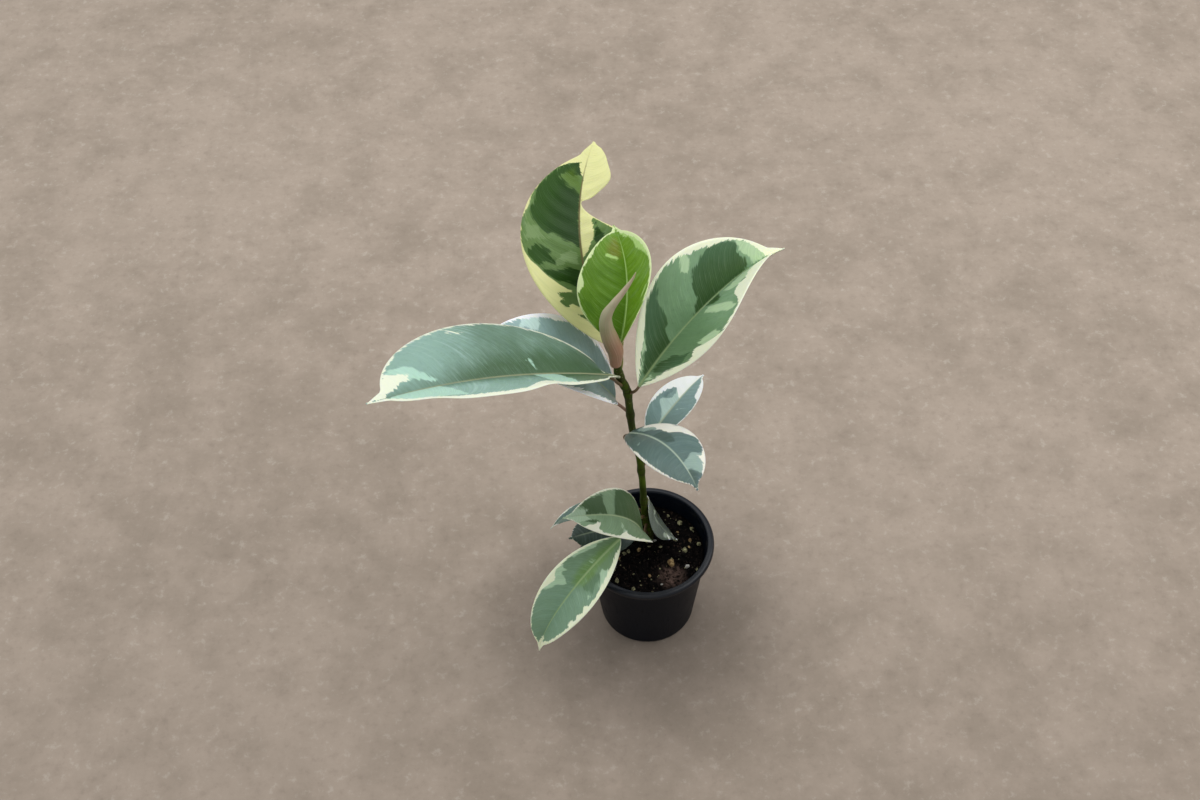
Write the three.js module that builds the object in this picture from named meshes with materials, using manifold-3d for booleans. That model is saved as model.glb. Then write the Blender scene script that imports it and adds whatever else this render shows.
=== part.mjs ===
// A young variegated rubber plant in a round plastic nursery pot.
// Millimetres, +Z up. The origin is the middle of the pot's underside, and the
// plant is seen from the front when looking along +Y.

import * as THREE from 'three';
import { mergeVertices } from 'three/addons/utils/BufferGeometryUtils.js';
import Module from 'manifold-3d';

const wasm = await Module();
wasm.setup();

// ---------------------------------------------------------------- dimensions

const CLEARANCE = 0.3;              // gap between neighbouring pieces
const SLIVER = 0.08;                // shortest edge that is kept

const POT = {
  height: 110,
  rimRadius: 63.5,
  lipWidth: 6.5,                    // how far the rolled lip stands out, with its bead
  lipDepth: 6,                      // height of the rolled lip
  beadRise: 1.2,                    // the lip's edges are rounded by this much
  crown: 0.4,                       // rise of the lip's top over its outer edge
  footRadius: 45.5,                 // at the base
  footEdge: 1.5,                    // rounding of the edge it stands on
  shoulderRadius: 57.5,             // just under the lip
  wall: 1.3,
  floor: 2,
  holes: 8,                         // drain holes round the floor
  holeRadius: 4.5,
  holeSides: 12,
  holeCircle: 32,
  sides: 48,
  tone: 0x16181b,
};

const SOIL = {
  level: 90,                        // height of the surface at the wall
  mound: 3,                         // rise towards the middle
  // Crumbs, as waves: height, radians per mm along X and Y, and phase.
  waves: [[0.45, 0.21, 0.17, 0.7], [0.45, 0.21, -0.17, 1.9], [0.63, 0.33, -0.26, 0],
    [0.45, 0.2, 0.4, 3.57]],
  rings: 8,
  sides: 40,
  tone: 0x2a211c,
};

// Perlite, bark and stones that stand out of the soil: middle x, y and half size.
const BITS = [
  [23, 30, 2.6], [34, 25, 3.3], [18, 24, 2.4], [46, 19, 2.8], [43, 11, 2.8], [50, 6, 2.2],
  [38, 2, 3.0], [26, 4, 2.2], [11, 3, 2.0], [-22, -3, 3.2], [-14, 1, 2.4], [-9, -1, 3.0],
  [24, -12, 4.6], [42, -13, 2.6], [48, -14, 1.9], [-30, -28, 2.2], [-30, -23, 1.9],
  [-15, -37, 2.2], [-4, -42, 2.0], [1, -29, 1.8], [3, -41, 1.6], [-36, 18, 2.6], [-20, 36, 2.4],
  [2, 44, 2.8], [28, 39, 2.2], [-42, -4, 2.0], [12, -20, 1.8], [-12, -16, 1.7],
];
const BIT = {
  depth: 0.8,                       // depth and height, as shares of the width
  height: 0.75,
  rise: 0.25,                       // how far its middle stands over the soil, in half sizes
  turn: 1.7,                        // radians that each is turned and tipped from the last
  tip: 0.9,
};

const ROOT_DEPTH = 55;              // how far the stem goes down into the soil
const STEM_TOP = 359;               // where the sheath takes over
const STEM = {
  sides: 10,
  steps: 44,
  footRadius: 3,
  topRadius: 3.4,
  nodeSwell: 0.7,                   // thickening where a leaf grows out
  nodeReach: 5,
  rootEnd: 0.35,                    // radius at the root end, as a share of the stem's
  rootTaper: 0.12,                  // share of the length over which it gets there
  line: [[4, 13, SOIL.level - ROOT_DEPTH], [4, 13, 92], [1, 14, 112], [-2, 13, 140], [-3, 13, 165],
    [-5, 12, 205], [-7, 12, 228], [-13, 11, 270], [-15, 10, 298], [-17, 10, 322], [-21, 9.5, 335],
    [-24, 9, 348], [-25, 9, STEM_TOP]],
  tone: 0x4c5a1c,
};

// The pink sheath that wraps the next leaf, standing on the end of the stem.
const SHEATH = {
  sides: 10,
  steps: 22,
  line: [[-25, 9, STEM_TOP + CLEARANCE], [-27, 8, 378], [-30, 7, 394], [-33, 6, 410],
    [-32.5, 5, 424], [-27, 4, 438], [-19, 4, 452], [-11, 4, 468], [-9, 4, 474]],
  radii: [3.5, 5.2, 6.2, 5.5, 4.8, 3.8, 2.8, 1.3, 0.5],
  tone: 0xa98076,
};

const BLADE = {
  thickness: 0.9,
  keel: 1.5,                        // how far the midrib stands out below, at the base
  keelTaper: 0.6,                   // share of the keel that is gone by the tip
  keelReach: 0.06,                  // half width of the midrib, as a share of the half width
  edge: 0.9,                        // half width left at the very tip and base
  tipStart: 0.93,                   // where the drip tip begins, as a share of the length
  tipWidth: 0.12,                   // half width of the drip tip, as a share of the half width
  tipEase: 0.4,                     // where the drip tip starts to swell in, and an ear ends
  flickFrom: 0.6,                   // where the flick begins
  flat: 1e-6,                       // camber of a blade that has none, in radians
  across: [-1, -0.64, -0.3, -0.06, 0, 0.06, 0.3, 0.64, 1],
  longLeaf: 100,                    // a leaf this long or longer has longRows, others shortRows
  longRows: 18,
  shortRows: 13,
};

const PETIOLE = {
  radius: 1.5,
  taper: 0.2,                       // share of the radius that is gone by the blade
  seat: 0.8,                        // depth of its middle line under the midrib, in radii
  overlap: 4,                       // how far it runs on under the blade
  leave: 0.3,                       // handles of its curve, as shares of the span: at the stem
  arrive: 0.35,                     // and at the blade
  sides: 8,
  steps: 8,
};

// Leaves. base is where the blade begins, grows is the height on the stem where its
// petiole starts. heading is the compass angle from +X, rise the climb at the base,
// droop and sweep how much both turn by the tip, and flick lifts the last third.
// roll lifts the left side, twist adds to it towards the tip, fold closes the blade
// along its midrib, unfold takes from that towards the tip, and camber curls the
// sides down again. left and right are the half widths, belly moves the widest place
// towards the tip and full makes the outline blunter. On the right side a notch cuts the
// outline in, and a crown is a round lobe there. Lengths in mm, angles in degrees.
const LEAVES = [
  { name: 'leaf_01_unfurling', tone: 0x7fa234, base: [-21, 14, 379.3], grows: 346, length: 107,
    heading: 71, rise: 42, droop: 35, sweep: 40, flick: 1, roll: -26, twist: 28, fold: 46,
    unfold: 10, left: 46, right: 33, belly: 0.86, full: 0.63 },
  { name: 'leaf_02_crooked', tone: 0x4f7a3f, base: [-34, 37.5, 352.4], grows: 343, length: 181,
    heading: 121, rise: 52, droop: 34, sweep: -55, roll: 10, twist: -1, fold: 20, unfold: 6,
    camber: 15, left: 53, right: 56, belly: 1.07, full: 0.82,
    notch: { at: 0.69, above: 0.12, below: 0.15, depth: 0.98 },
    crown: { at: 0.84, reach: 0.15, width: 19 } },
  { name: 'leaf_03_right', tone: 0x6f8f6c, base: [-7, 5, 333], grows: 318, length: 180,
    heading: 50, rise: 26, droop: 15, sweep: -20, flick: -13, roll: 21, twist: -29, fold: 33,
    unfold: -22, camber: 5, left: 52, right: 52, belly: 1.10, full: 0.76 },
  { name: 'leaf_04_left', tone: 0x7c9a8a, base: [-23, -4, 358], grows: 330, joins: 0.07, length: 235,
    heading: 196, rise: 27, droop: 9, sweep: 20, flick: 1, roll: 19, twist: -14, fold: 25,
    unfold: -2, camber: 12, left: 55, right: 57, belly: 0.96, full: 0.47,
    ear: { length: 0.07, width: 0.08 } },
  { name: 'leaf_05_left_back', tone: 0x6c8c83, base: [-27, 20, 298], grows: 289, length: 160,
    heading: 183, rise: 64, droop: 50, sweep: 5, flick: -2, roll: 3, twist: -17, fold: 27,
    unfold: 6, camber: 12, left: 40, right: 40, belly: 0.89, full: 0.70 },
  { name: 'leaf_06_right_back', tone: 0x8fa7a0, base: [3, 20, 244], grows: 206, length: 89,
    heading: 51, rise: 17, droop: 32, sweep: 4, flick: -4, roll: -2, twist: 4, fold: 25,
    unfold: -3, camber: 15, left: 20, right: 20, belly: 0.85, full: 0.67 },
  { name: 'leaf_07_right_front', tone: 0x6f8b80, base: [-17, -6, 283], grows: 247, length: 102,
    heading: -34, rise: 38, droop: 57, sweep: -40, flick: 10, roll: -17, twist: 21, fold: 17,
    unfold: 11, camber: 22, left: 28, right: 28, belly: 0.99, full: 0.62 },
  { name: 'leaf_08_low_left', tone: 0x8aa282, base: [2, -18, 141], grows: 119, length: 114,
    heading: 200, rise: 86, droop: 96, sweep: -8, flick: 12, roll: 2, twist: -27, fold: 25,
    unfold: 5, camber: 13, left: 29, right: 27, belly: 0.90, full: 0.67 },
  { name: 'leaf_09_low_right', tone: 0x9fb0a0, base: [2, 18.5, 150.5], grows: 157, length: 61,
    heading: -33, rise: -84, droop: -44, sweep: 13, flick: 16, roll: -37, twist: 9, fold: 14,
    unfold: -11, camber: 47, left: 20, right: 21, belly: 0.83, full: 0.70 },
  { name: 'leaf_10_low_front', tone: 0x86a06f, base: [-26, -28, 156], grows: 132, length: 139,
    heading: 220, rise: -12, droop: 47, flick: -18, roll: -26, twist: 10, fold: 30, unfold: -5,
    camber: 8, left: 28, right: 28, belly: 1.00, full: 0.71 },
  { name: 'leaf_11_low_back', tone: 0x4e6f66, base: [-8, 30, 124], grows: 101, length: 95,
    heading: 182, rise: 18, droop: 62, sweep: 2, flick: -17, roll: 19, twist: -2, fold: 20,
    unfold: -6, camber: 21, left: 16, right: 16, belly: 0.84, full: 0.67 },
  { name: 'leaf_12_shaded', tone: 0x3f5a50, base: [-7, 2, 127], grows: 104, length: 82,
    heading: 188, rise: 22, droop: -2, sweep: 36, flick: 8, roll: -14, twist: -8, fold: 12,
    unfold: 10, camber: 25, left: 24, right: 18, belly: 0.94, full: 0.62 },
];

// ------------------------------------------------------------------- helpers

const radians = THREE.MathUtils.degToRad;
const clamp = THREE.MathUtils.clamp;
const smoothstep = THREE.MathUtils.smoothstep;
const vector = ([x, y, z]) => new THREE.Vector3(x, y, z);

function solidOf(geometry) {
  const bare = geometry.clone();
  bare.deleteAttribute('normal');
  bare.deleteAttribute('uv');
  const merged = mergeVertices(bare, 1e-3);
  return new wasm.Manifold(new wasm.Mesh({
    numProp: 3,
    vertProperties: merged.attributes.position.array,
    triVerts: merged.index.array,
  }));
}

// The solid's mesh, rid of the slivers that joins and cuts leave.
function geometryOf(solid) {
  const mesh = solid.asOriginal().simplify(SLIVER).getMesh();
  const geometry = new THREE.BufferGeometry();
  geometry.setAttribute('position', new THREE.BufferAttribute(mesh.vertProperties, 3));
  geometry.setIndex(new THREE.BufferAttribute(mesh.triVerts, 1));
  return geometry;
}

// A round bar along a curve, made by moving the rings of a cylinder.
function barAlong(curve, radiusAt, sides, steps) {
  const geometry = new THREE.CylinderGeometry(1, 1, 1, sides, steps);
  const position = geometry.attributes.position;
  const frames = curve.computeFrenetFrames(steps, false);
  const points = curve.getSpacedPoints(steps);
  const spot = new THREE.Vector3();
  for (let i = 0; i < position.count; i++) {
    const [x, y, z] = [position.getX(i), position.getY(i), position.getZ(i)];
    const step = Math.round((0.5 - y) * steps);
    const radius = radiusAt(step / steps, points[step]);
    spot.copy(points[step])
      .addScaledVector(frames.normals[step], x * radius)
      .addScaledVector(frames.binormals[step], -z * radius);
    position.setXYZ(i, spot.x, spot.y, spot.z);
  }
  const bar = solidOf(geometry);
  if (bar.volume() > 0) return bar;
  geometry.index.array.reverse();
  return solidOf(geometry);
}

function lathed(profile, sides) {
  const points = profile.map(([radius, z]) => new THREE.Vector2(radius, z));
  return new THREE.LatheGeometry(points, sides).rotateX(Math.PI / 2);
}

// --------------------------------------------------------------------- parts

function potGeometry() {
  const { height, rimRadius, lipWidth, lipDepth, beadRise, crown } = POT;
  const { footRadius, footEdge, shoulderRadius, wall, floor } = POT;
  const { holes, holeRadius, holeSides, holeCircle } = POT;
  const innerRim = rimRadius - lipWidth;
  const underLip = height - lipDepth;
  const profile = [
    [0, 0], [footRadius - footEdge, 0], [footRadius, footEdge],
    [shoulderRadius, underLip], [rimRadius - beadRise, underLip], [rimRadius, underLip + beadRise],
    [rimRadius, height - 2 * beadRise], [rimRadius - beadRise, height - crown],
    [rimRadius - 2.5 * beadRise, height], [innerRim + beadRise, height],
    [innerRim, height - beadRise], [shoulderRadius - wall, underLip - wall],
    [footRadius - wall, floor], [0, floor],
  ];
  let pot = solidOf(lathed(profile, POT.sides));
  for (let i = 0; i < holes; i++) {
    const angle = (i + 0.5) / holes * 2 * Math.PI;
    const hole = new THREE.CylinderGeometry(holeRadius, holeRadius, 4 * floor, holeSides)
      .rotateX(Math.PI / 2)
      .translate(holeCircle * Math.cos(angle), holeCircle * Math.sin(angle), floor / 2);
    pot = pot.subtract(solidOf(hole));
  }
  return geometryOf(pot);
}

// Radius of the pot's inner wall at a height.
function innerRadius(z) {
  const share = (z - POT.floor) / (POT.height - POT.lipDepth - POT.wall - POT.floor);
  return THREE.MathUtils.lerp(POT.footRadius, POT.shoulderRadius, share) - POT.wall;
}

// Height of the crumbled soil surface, which is even along the pot's wall.
function soilHeight(x, y) {
  const reach = Math.hypot(x, y) / innerRadius(SOIL.level);
  const crumbs = SOIL.waves.reduce((sum, [height, perX, perY, phase]) =>
    sum + height * Math.sin(perX * x + perY * y + phase), 0);
  return SOIL.level + SOIL.mound * (1 - reach * reach) + crumbs * (1 - reach ** 6);
}

function soilGeometry(stemSocket) {
  const top = innerRadius(SOIL.level) - CLEARANCE;
  const bottom = innerRadius(POT.floor) - CLEARANCE;
  const profile = [[0, POT.floor + CLEARANCE], [bottom, POT.floor + CLEARANCE]];
  for (let ring = SOIL.rings; ring >= 0; ring--) profile.push([top * ring / SOIL.rings, SOIL.level]);
  const geometry = lathed(profile, SOIL.sides);
  const position = geometry.attributes.position;
  for (let i = 0; i < position.count; i++) {
    if (position.getZ(i) < SOIL.level - 1) continue;
    position.setZ(i, soilHeight(position.getX(i), position.getY(i)));
  }
  let soil = solidOf(geometry);
  BITS.forEach(([x, y, size], i) => {
    const bit = new THREE.IcosahedronGeometry(size, 0)
      .rotateZ(i * BIT.turn).rotateX(i * BIT.tip)
      .scale(1, BIT.depth, BIT.height)
      .translate(x, y, soilHeight(x, y) + BIT.rise * size);
    soil = soil.add(solidOf(bit));
  });
  return geometryOf(soil.subtract(stemSocket));
}

const stemCurve = new THREE.CatmullRomCurve3(STEM.line.map(vector), false, 'centripetal');

function stemRadius(share, spot) {
  const height = (spot.z - SOIL.level) / (STEM_TOP - SOIL.level);
  const plain = THREE.MathUtils.lerp(STEM.footRadius, STEM.topRadius, clamp(height, 0, 1));
  const swell = LEAVES.reduce((most, leaf) => Math.max(most,
    Math.exp(-(((spot.z - leaf.grows) / STEM.nodeReach) ** 2))), 0);
  const taper = THREE.MathUtils.lerp(STEM.rootEnd, 1, smoothstep(share, 0, STEM.rootTaper));
  return (plain + STEM.nodeSwell * swell) * taper;
}

function stemSolid(extra = 0) {
  return barAlong(stemCurve, (share, spot) => stemRadius(share, spot) + extra, STEM.sides, STEM.steps);
}

function sheathGeometry() {
  const curve = new THREE.CatmullRomCurve3(SHEATH.line.map(vector), false, 'centripetal');
  const radiusAt = (share) => {
    const place = share * (SHEATH.radii.length - 1);
    const lower = Math.min(Math.floor(place), SHEATH.radii.length - 2);
    return THREE.MathUtils.lerp(SHEATH.radii[lower], SHEATH.radii[lower + 1], place - lower);
  };
  return geometryOf(barAlong(curve, radiusAt, SHEATH.sides, SHEATH.steps));
}

// The point of the stem's middle line at a height, to within half a millimetre.
function stemAt(z) {
  const points = stemCurve.getSpacedPoints(Math.round(2 * stemCurve.getLength()));
  return points.reduce((best, p) => (Math.abs(p.z - z) < Math.abs(best.z - z) ? p : best));
}

// -------------------------------------------------------------------- leaves

// Directions at a share t of the leaf's length: forward, left and up.
function leafDirections(leaf, t) {
  const { heading, rise, droop = 0, sweep = 0, flick = 0, roll = 0, twist = 0 } = leaf;
  const turn = radians(heading + sweep * t);
  const climb = radians(rise - droop * t + flick * smoothstep(t, BLADE.flickFrom, 1));
  const lean = radians(roll + twist * t);
  const forward = new THREE.Vector3(
    Math.cos(climb) * Math.cos(turn), Math.cos(climb) * Math.sin(turn), Math.sin(climb));
  const level = new THREE.Vector3(-Math.sin(turn), Math.cos(turn), 0);
  const up = forward.clone().cross(level);
  const left = level.clone().multiplyScalar(Math.cos(lean)).addScaledVector(up, Math.sin(lean));
  return { forward, left, up: up.multiplyScalar(Math.cos(lean)).addScaledVector(level, -Math.sin(lean)) };
}

// Points along the midrib, one for each row of the blade.
function midribPoints(leaf, rows) {
  const points = [vector(leaf.base)];
  for (let row = 0; row < rows; row++) {
    const { forward } = leafDirections(leaf, (row + 0.5) / rows);
    points.push(points[row].clone().addScaledVector(forward, leaf.length / rows));
  }
  return points;
}

// Half width of the outline at t, as a share of the widest.
function outline(leaf, t) {
  const { tipStart, tipWidth, tipEase } = BLADE;
  const { belly, full, ear = { length: 0, width: 0 } } = leaf;
  const share = clamp((t - ear.length) / (tipStart - ear.length), 0, 1);
  const main = share < 1 ? Math.sin(Math.PI * share ** belly) ** full : 0;
  const tip = tipWidth * smoothstep(t, tipEase, tipStart) * clamp((1 - t) / (1 - tipStart), 0, 1);
  const lobe = ear.length > 0
    ? ear.width * (1 - smoothstep(t, ear.length, tipEase)) * clamp(t / ear.length, 0, 1) : 0;
  return Math.cbrt(main ** 3 + tip ** 3 + lobe ** 3);
}

// Half width in mm on one side, side being 1 on the left and -1 on the right.
function halfWidth(leaf, t, side) {
  let width = (side > 0 ? leaf.left : leaf.right) * outline(leaf, t);
  if (side < 0 && leaf.notch) {
    const { at, above, below, depth } = leaf.notch;
    width *= 1 - depth * Math.exp(-(((t - at) / (t > at ? above : below)) ** 2));
  }
  if (side < 0 && leaf.crown) {
    const { at, reach, width: crownWidth } = leaf.crown;
    const lobe = crownWidth * Math.sqrt(Math.max(0, 1 - ((t - at) / reach) ** 2));
    width = Math.cbrt(width ** 3 + lobe ** 3);
  }
  return Math.max(width, BLADE.edge);
}

// A point of the blade's middle layer, and the way its thickness goes.
function bladePoint(leaf, t, middle, across) {
  const { left, up } = leafDirections(leaf, t);
  const side = across >= 0 ? 1 : -1;
  const out = Math.abs(across);
  const fold = radians(leaf.fold - (leaf.unfold ?? 0) * t);
  const curl = radians(leaf.camber ?? 0) || BLADE.flat;
  const width = halfWidth(leaf, t, side);
  const sideways = width * (Math.sin(fold) - Math.sin(fold - curl * out)) / curl;
  const lifted = width * (Math.cos(fold - curl * out) - Math.cos(fold)) / curl;
  const slope = fold - curl * out;
  const spot = middle.clone().addScaledVector(left, side * sideways).addScaledVector(up, lifted);
  const normal = up.clone().multiplyScalar(across === 0 ? 1 : Math.cos(slope))
    .addScaledVector(left, across === 0 ? 0 : -side * Math.sin(slope));
  return { spot, normal };
}

// One blade as a closed shell: an upper and a lower face split alike, and the edge between.
function bladeGeometry(leaf) {
  const rows = leaf.length >= BLADE.longLeaf ? BLADE.longRows : BLADE.shortRows;
  const columns = BLADE.across.length;
  const middles = midribPoints(leaf, rows);
  const upper = [];
  const lower = [];
  for (let row = 0; row <= rows; row++) {
    const t = row / rows;
    for (const across of BLADE.across) {
      const { spot, normal } = bladePoint(leaf, t, middles[row], across);
      const ridge = BLADE.keel * (1 - BLADE.keelTaper * t)
        * clamp(1 - Math.abs(across) / BLADE.keelReach, 0, 1);
      upper.push(...spot.clone().addScaledVector(normal, BLADE.thickness / 2));
      lower.push(...spot.clone().addScaledVector(normal, -BLADE.thickness / 2 - ridge));
    }
  }
  const under = (rows + 1) * columns;                    // index of the first lower point
  const faces = [];
  for (let row = 0; row < rows; row++) {
    for (let column = 0; column < columns - 1; column++) {
      const a = row * columns + column;
      const [b, c, d] = [a + columns, a + columns + 1, a + 1];
      faces.push(a, b, c, a, c, d);
      faces.push(under + a, under + c, under + b, under + a, under + d, under + c);
    }
  }
  const rim = [];
  for (let column = 0; column < columns - 1; column++) rim.push(column);
  for (let row = 0; row < rows; row++) rim.push(row * columns + columns - 1);
  for (let column = columns - 1; column > 0; column--) rim.push(rows * columns + column);
  for (let row = rows; row > 0; row--) rim.push(row * columns);
  rim.forEach((a, i) => {
    const b = rim[(i + 1) % rim.length];
    faces.push(a, b, under + b, a, under + b, under + a);
  });
  const geometry = new THREE.BufferGeometry();
  geometry.setAttribute('position', new THREE.Float32BufferAttribute([...upper, ...lower], 3));
  geometry.setIndex(faces);
  return geometry;
}

function outwards(geometry) {
  const solid = solidOf(geometry);
  if (solid.volume() > 0) return solid;
  geometry.index.array.reverse();
  return solidOf(geometry);
}

// The stalk: it leaves the stem outwards and up, and runs in under the midrib at the
// blade's base, or where the leaf says that it joins.
function petioleSolid(leaf) {
  const { radius, taper, seat, overlap, leave, arrive, sides, steps } = PETIOLE;
  const joinRow = Math.round((leaf.joins ?? 0) * BLADE.longRows);
  const { forward, up } = leafDirections(leaf, joinRow / BLADE.longRows);
  const start = stemAt(leaf.grows);
  const end = midribPoints(leaf, BLADE.longRows)[joinRow].addScaledVector(up, -seat * radius);
  const reach = start.distanceTo(end);
  const outward = end.clone().sub(start).setZ(0).normalize();
  const climbing = new THREE.Vector3(0, 0, leave * reach);
  const curve = new THREE.CubicBezierCurve3(
    start,
    start.clone().addScaledVector(outward, leave * reach).add(climbing),
    end.clone().addScaledVector(forward, -arrive * reach),
    end.clone().addScaledVector(forward, overlap),
  );
  return barAlong(curve, (share) => radius * (1 - taper * share), sides, steps);
}

// ------------------------------------------------------------------ assembly

const finish = (color, roughness) =>
  new THREE.MeshStandardMaterial({ color, roughness, metalness: 0 });

// A mesh whose own frame stands at place, turned about +Z by turn.
function placed(name, geometry, material, place = [0, 0, 0], turn = 0) {
  const mesh = new THREE.Mesh(geometry, material);
  mesh.name = name;
  mesh.position.set(...place);
  mesh.rotation.z = turn;
  mesh.updateMatrix();
  geometry.applyMatrix4(mesh.matrix.clone().invert());
  return mesh;
}

const stemSocket = stemSolid(CLEARANCE);

const plant = new THREE.Group();
plant.add(placed('stem', geometryOf(stemSolid()), finish(STEM.tone, 0.55), STEM.line[0]));
plant.add(placed('bud_sheath', sheathGeometry(), finish(SHEATH.tone, 0.5), SHEATH.line[0]));
for (const leaf of LEAVES) {
  const solid = outwards(bladeGeometry(leaf)).add(petioleSolid(leaf)).subtract(stemSocket);
  const material = finish(leaf.tone, 0.4);
  plant.add(placed(leaf.name, geometryOf(solid), material, leaf.base, radians(leaf.heading)));
}

const potted = new THREE.Group();
potted.add(placed('pot', potGeometry(), finish(POT.tone, 0.5)));
potted.add(placed('soil', soilGeometry(stemSocket), finish(SOIL.tone, 0.95), [0, 0, POT.floor]));
potted.add(plant);

export default potted;
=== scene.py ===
"""A young variegated rubber plant in a black nursery pot, made piece by piece over its fixed frame.

Lengths in the tables are millimetres, angles are degrees and marks on leaves are percentages.
The stage and the finished meshes are in metres.
"""

import math
import random

import bmesh
import bpy
from bpy.props import FloatProperty, FloatVectorProperty, IntProperty, PointerProperty
from mathutils import Matrix, Vector, noise


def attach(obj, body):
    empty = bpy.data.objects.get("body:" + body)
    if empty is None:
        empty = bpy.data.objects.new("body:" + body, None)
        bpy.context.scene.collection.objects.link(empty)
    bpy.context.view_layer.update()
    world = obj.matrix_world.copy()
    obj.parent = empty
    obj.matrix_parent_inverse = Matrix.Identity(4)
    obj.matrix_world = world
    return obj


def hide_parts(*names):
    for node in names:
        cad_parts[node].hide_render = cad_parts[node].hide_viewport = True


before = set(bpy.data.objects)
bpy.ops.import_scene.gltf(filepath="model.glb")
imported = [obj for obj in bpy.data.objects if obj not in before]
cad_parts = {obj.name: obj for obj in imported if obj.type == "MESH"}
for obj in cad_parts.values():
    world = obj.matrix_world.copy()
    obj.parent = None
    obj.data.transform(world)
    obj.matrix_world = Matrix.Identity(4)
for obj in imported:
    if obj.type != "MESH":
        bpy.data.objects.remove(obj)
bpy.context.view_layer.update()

bl_info = {
    "name": "Potted Rubber Plant",
    "version": (1, 0, 0),
    "blender": (4, 5, 0),
    "location": "View3D > Sidebar > Rubber Plant",
    "description": "Makes a variegated rubber plant in its nursery pot",
    "category": "Add Mesh",
}

MM = 0.001
LEFT, RIGHT = 1, -1
SIDES = {"left": (LEFT,), "right": (RIGHT,), "both": (LEFT, RIGHT)}
FIELDS = ("cream", "pale", "deep", "flush", "tone", "out", "rib")
FAR = 20.0  # no depth of a patch is measured past this
SEED = 7

CAMERA = dict(place=(-0.0403, -0.8962, 1.42), pitch=50.75, roll=1.95, lens=50, sensor=36, reach=50)
# shade is the middle of the painted contact shadow on the floor round the pot's foot.
FLOOR = dict(reach=6, shade=(0.0, -0.02, 0.0))
LAMPS = {"soft_light": dict(place=(-0.95, 0.85, 2.9), size=(4.2, 3.4)),
         "fill_light": dict(place=(1.7, 0.3, 2.2), size=(2.0, 2.0))}
AIM = (0, 0, 0.25)
SKY = dict(colour=(0.93, 0.97, 1.0, 1), strength=0.62)

POT = dict(height=110, rim=63.5, lip_width=6.5, lip_depth=6, bead=1.2, crown=0.4, foot=45.5,
           foot_edge=1.5, shoulder=57.5, wall=1.3, floor=2, round=0.45, holes=8, hole=4.5, hole_circle=32,
           weld=0.005)
SOIL = dict(level=90, mound=3, rings=46, turns=180, clear=0.35, lumps=3.2, bend=60, rim=0.97,
            crumb=(0.35, 1.25), grit=80, grit_size=(0.5, 1.2), worn=(0.75, 1.05), sink=0.2, weld=0.01,
            waves=((0.45, 0.21, 0.17, 0.7), (0.45, 0.21, -0.17, 1.9), (0.63, 0.33, -0.26, 0),
                   (0.45, 0.2, 0.4, 3.57)))
BROWN_PATCH = (0.022, -0.029, 0.09)
# Bits that stand out of the mix: x, y and radius.
PERLITE = ((22, 41, 2.3), (33, 32, 2.9), (44, 25, 2.3), (50, 7, 2.3), (36, 0, 2.9), (16, 32, 2),
           (46, -22, 2.1), (-30, -32, 2.7), (-34, -36, 1.9), (-15, -42, 2.1), (-5, -47, 2.1), (3, -46, 1.8),
           (13, 4, 1.9), (2, -33, 1.6), (-18, 0, 2.6), (-22, -2, 2.4), (2, 4, 1.8), (27, 11, 1.7),
           (-36, 18, 2.6), (-20, 36, 2.4), (2, 44, 2.8), (-42, -4, 2))
BARK = ((41.5, 12, 2.8), (40, 3, 1.8), (22, -15, 5), (-8, 1, 3.1), (-27, -7.5, 2), (1, -29, 1.8),
        (30, 22, 1.6))
STONES = ((37, -18.4, 2.6), (7.6, 11.4, 1.8), (12, -38, 1.3))

STEM_LINE = ((4, 13, 35), (4, 13, 92), (1, 14, 112), (-2, 13, 140), (-3, 13, 165), (-5, 12, 205),
             (-7, 12, 228), (-13, 11, 270), (-15, 10, 298), (-17, 10, 322), (-21, 9.5, 335),
             (-24, 9, 348), (-25, 9, 359))
STEM = dict(foot=3, top=3.4, swell=0.7, reach=5, root_end=0.35, root_taper=0.12, sides=28, steps=300,
            ring_above=4.5, ring_reach=0.55, ring=0.16, scar_below=3.2, scar_reach=1.1, scar=0.8)
SHEATH_LINE = ((-26.2, 9, 359.3), (-26, 8, 378), (-30, 7, 394), (-33, 6, 410), (-32.5, 5, 424),
               (-27, 4, 438), (-19, 4, 452), (-11, 4, 468), (-9, 4, 474))
SHEATH_RADII = (4.9, 6.8, 7.0, 5.8, 4.6, 3.1, 2.2, 1.0, 0.4)
SHEATH = dict(steps=110, sides=64, lap_at=0.2, lap_turn=0.18, lap_edge=0.035, out=0.1, under=-0.09,
              foot=0.12, lip_at=0.04, lip=0.02)
BLADE = dict(thickness=0.7, keel=1.1, groove=0.12, rib=1.1, keel_taper=0.6, tip_start=0.93,
             tip_width=0.12, tip_ease=0.4, ear_end=0.4, flick_from=0.6, rows=110, fewest_rows=46,
             longest=235, columns=60, spread=0.42, edge=1.2, edge_share=0.35, narrowest=0.9, slant=0.35,
             loop=0.45, weld=0.004)
RIB_WIDTHS = ((0, 1.5), (0.5, 1.0), (1, 0.4))
DRIFT = dict(along=0.07, across=0.09, reach=3.2, finer=2.7, finer_reach=1.2, pale_rim=3.2)
PETIOLE = dict(radius=1.5, taper=0.2, seat=0.8, overlap=4, leave=0.3, arrive=0.35, sides=16, steps=26,
               flare=0.55, flare_reach=2.2, end=0.4)
THROUGH = {"Subsurface Weight": 0.35, "Subsurface Radius": (0.9, 1.0, 0.5), "Subsurface Scale": 0.0012}
# Noises drawn out along the side veins: detail, roughness, and scales across and along the veins.
STROKES = dict(teeth=(3, 0.55, 0.24, 0.045), flame=(3, 0.6, 0.8, 0.07), hair=(3, 0.65, 2.6, 0.09),
               band=(2, 0.5, 0.3, 0.025))


# ---------------------------------------------------------------- sums on numbers


def clamp(value):
    return max(0.0, min(1.0, value))


def ease(value, low, high):
    share = clamp((value - low) / (high - low))
    return share * share * (3 - 2 * share)


def mix(low, high, share):
    return low + (high - low) * share


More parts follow.
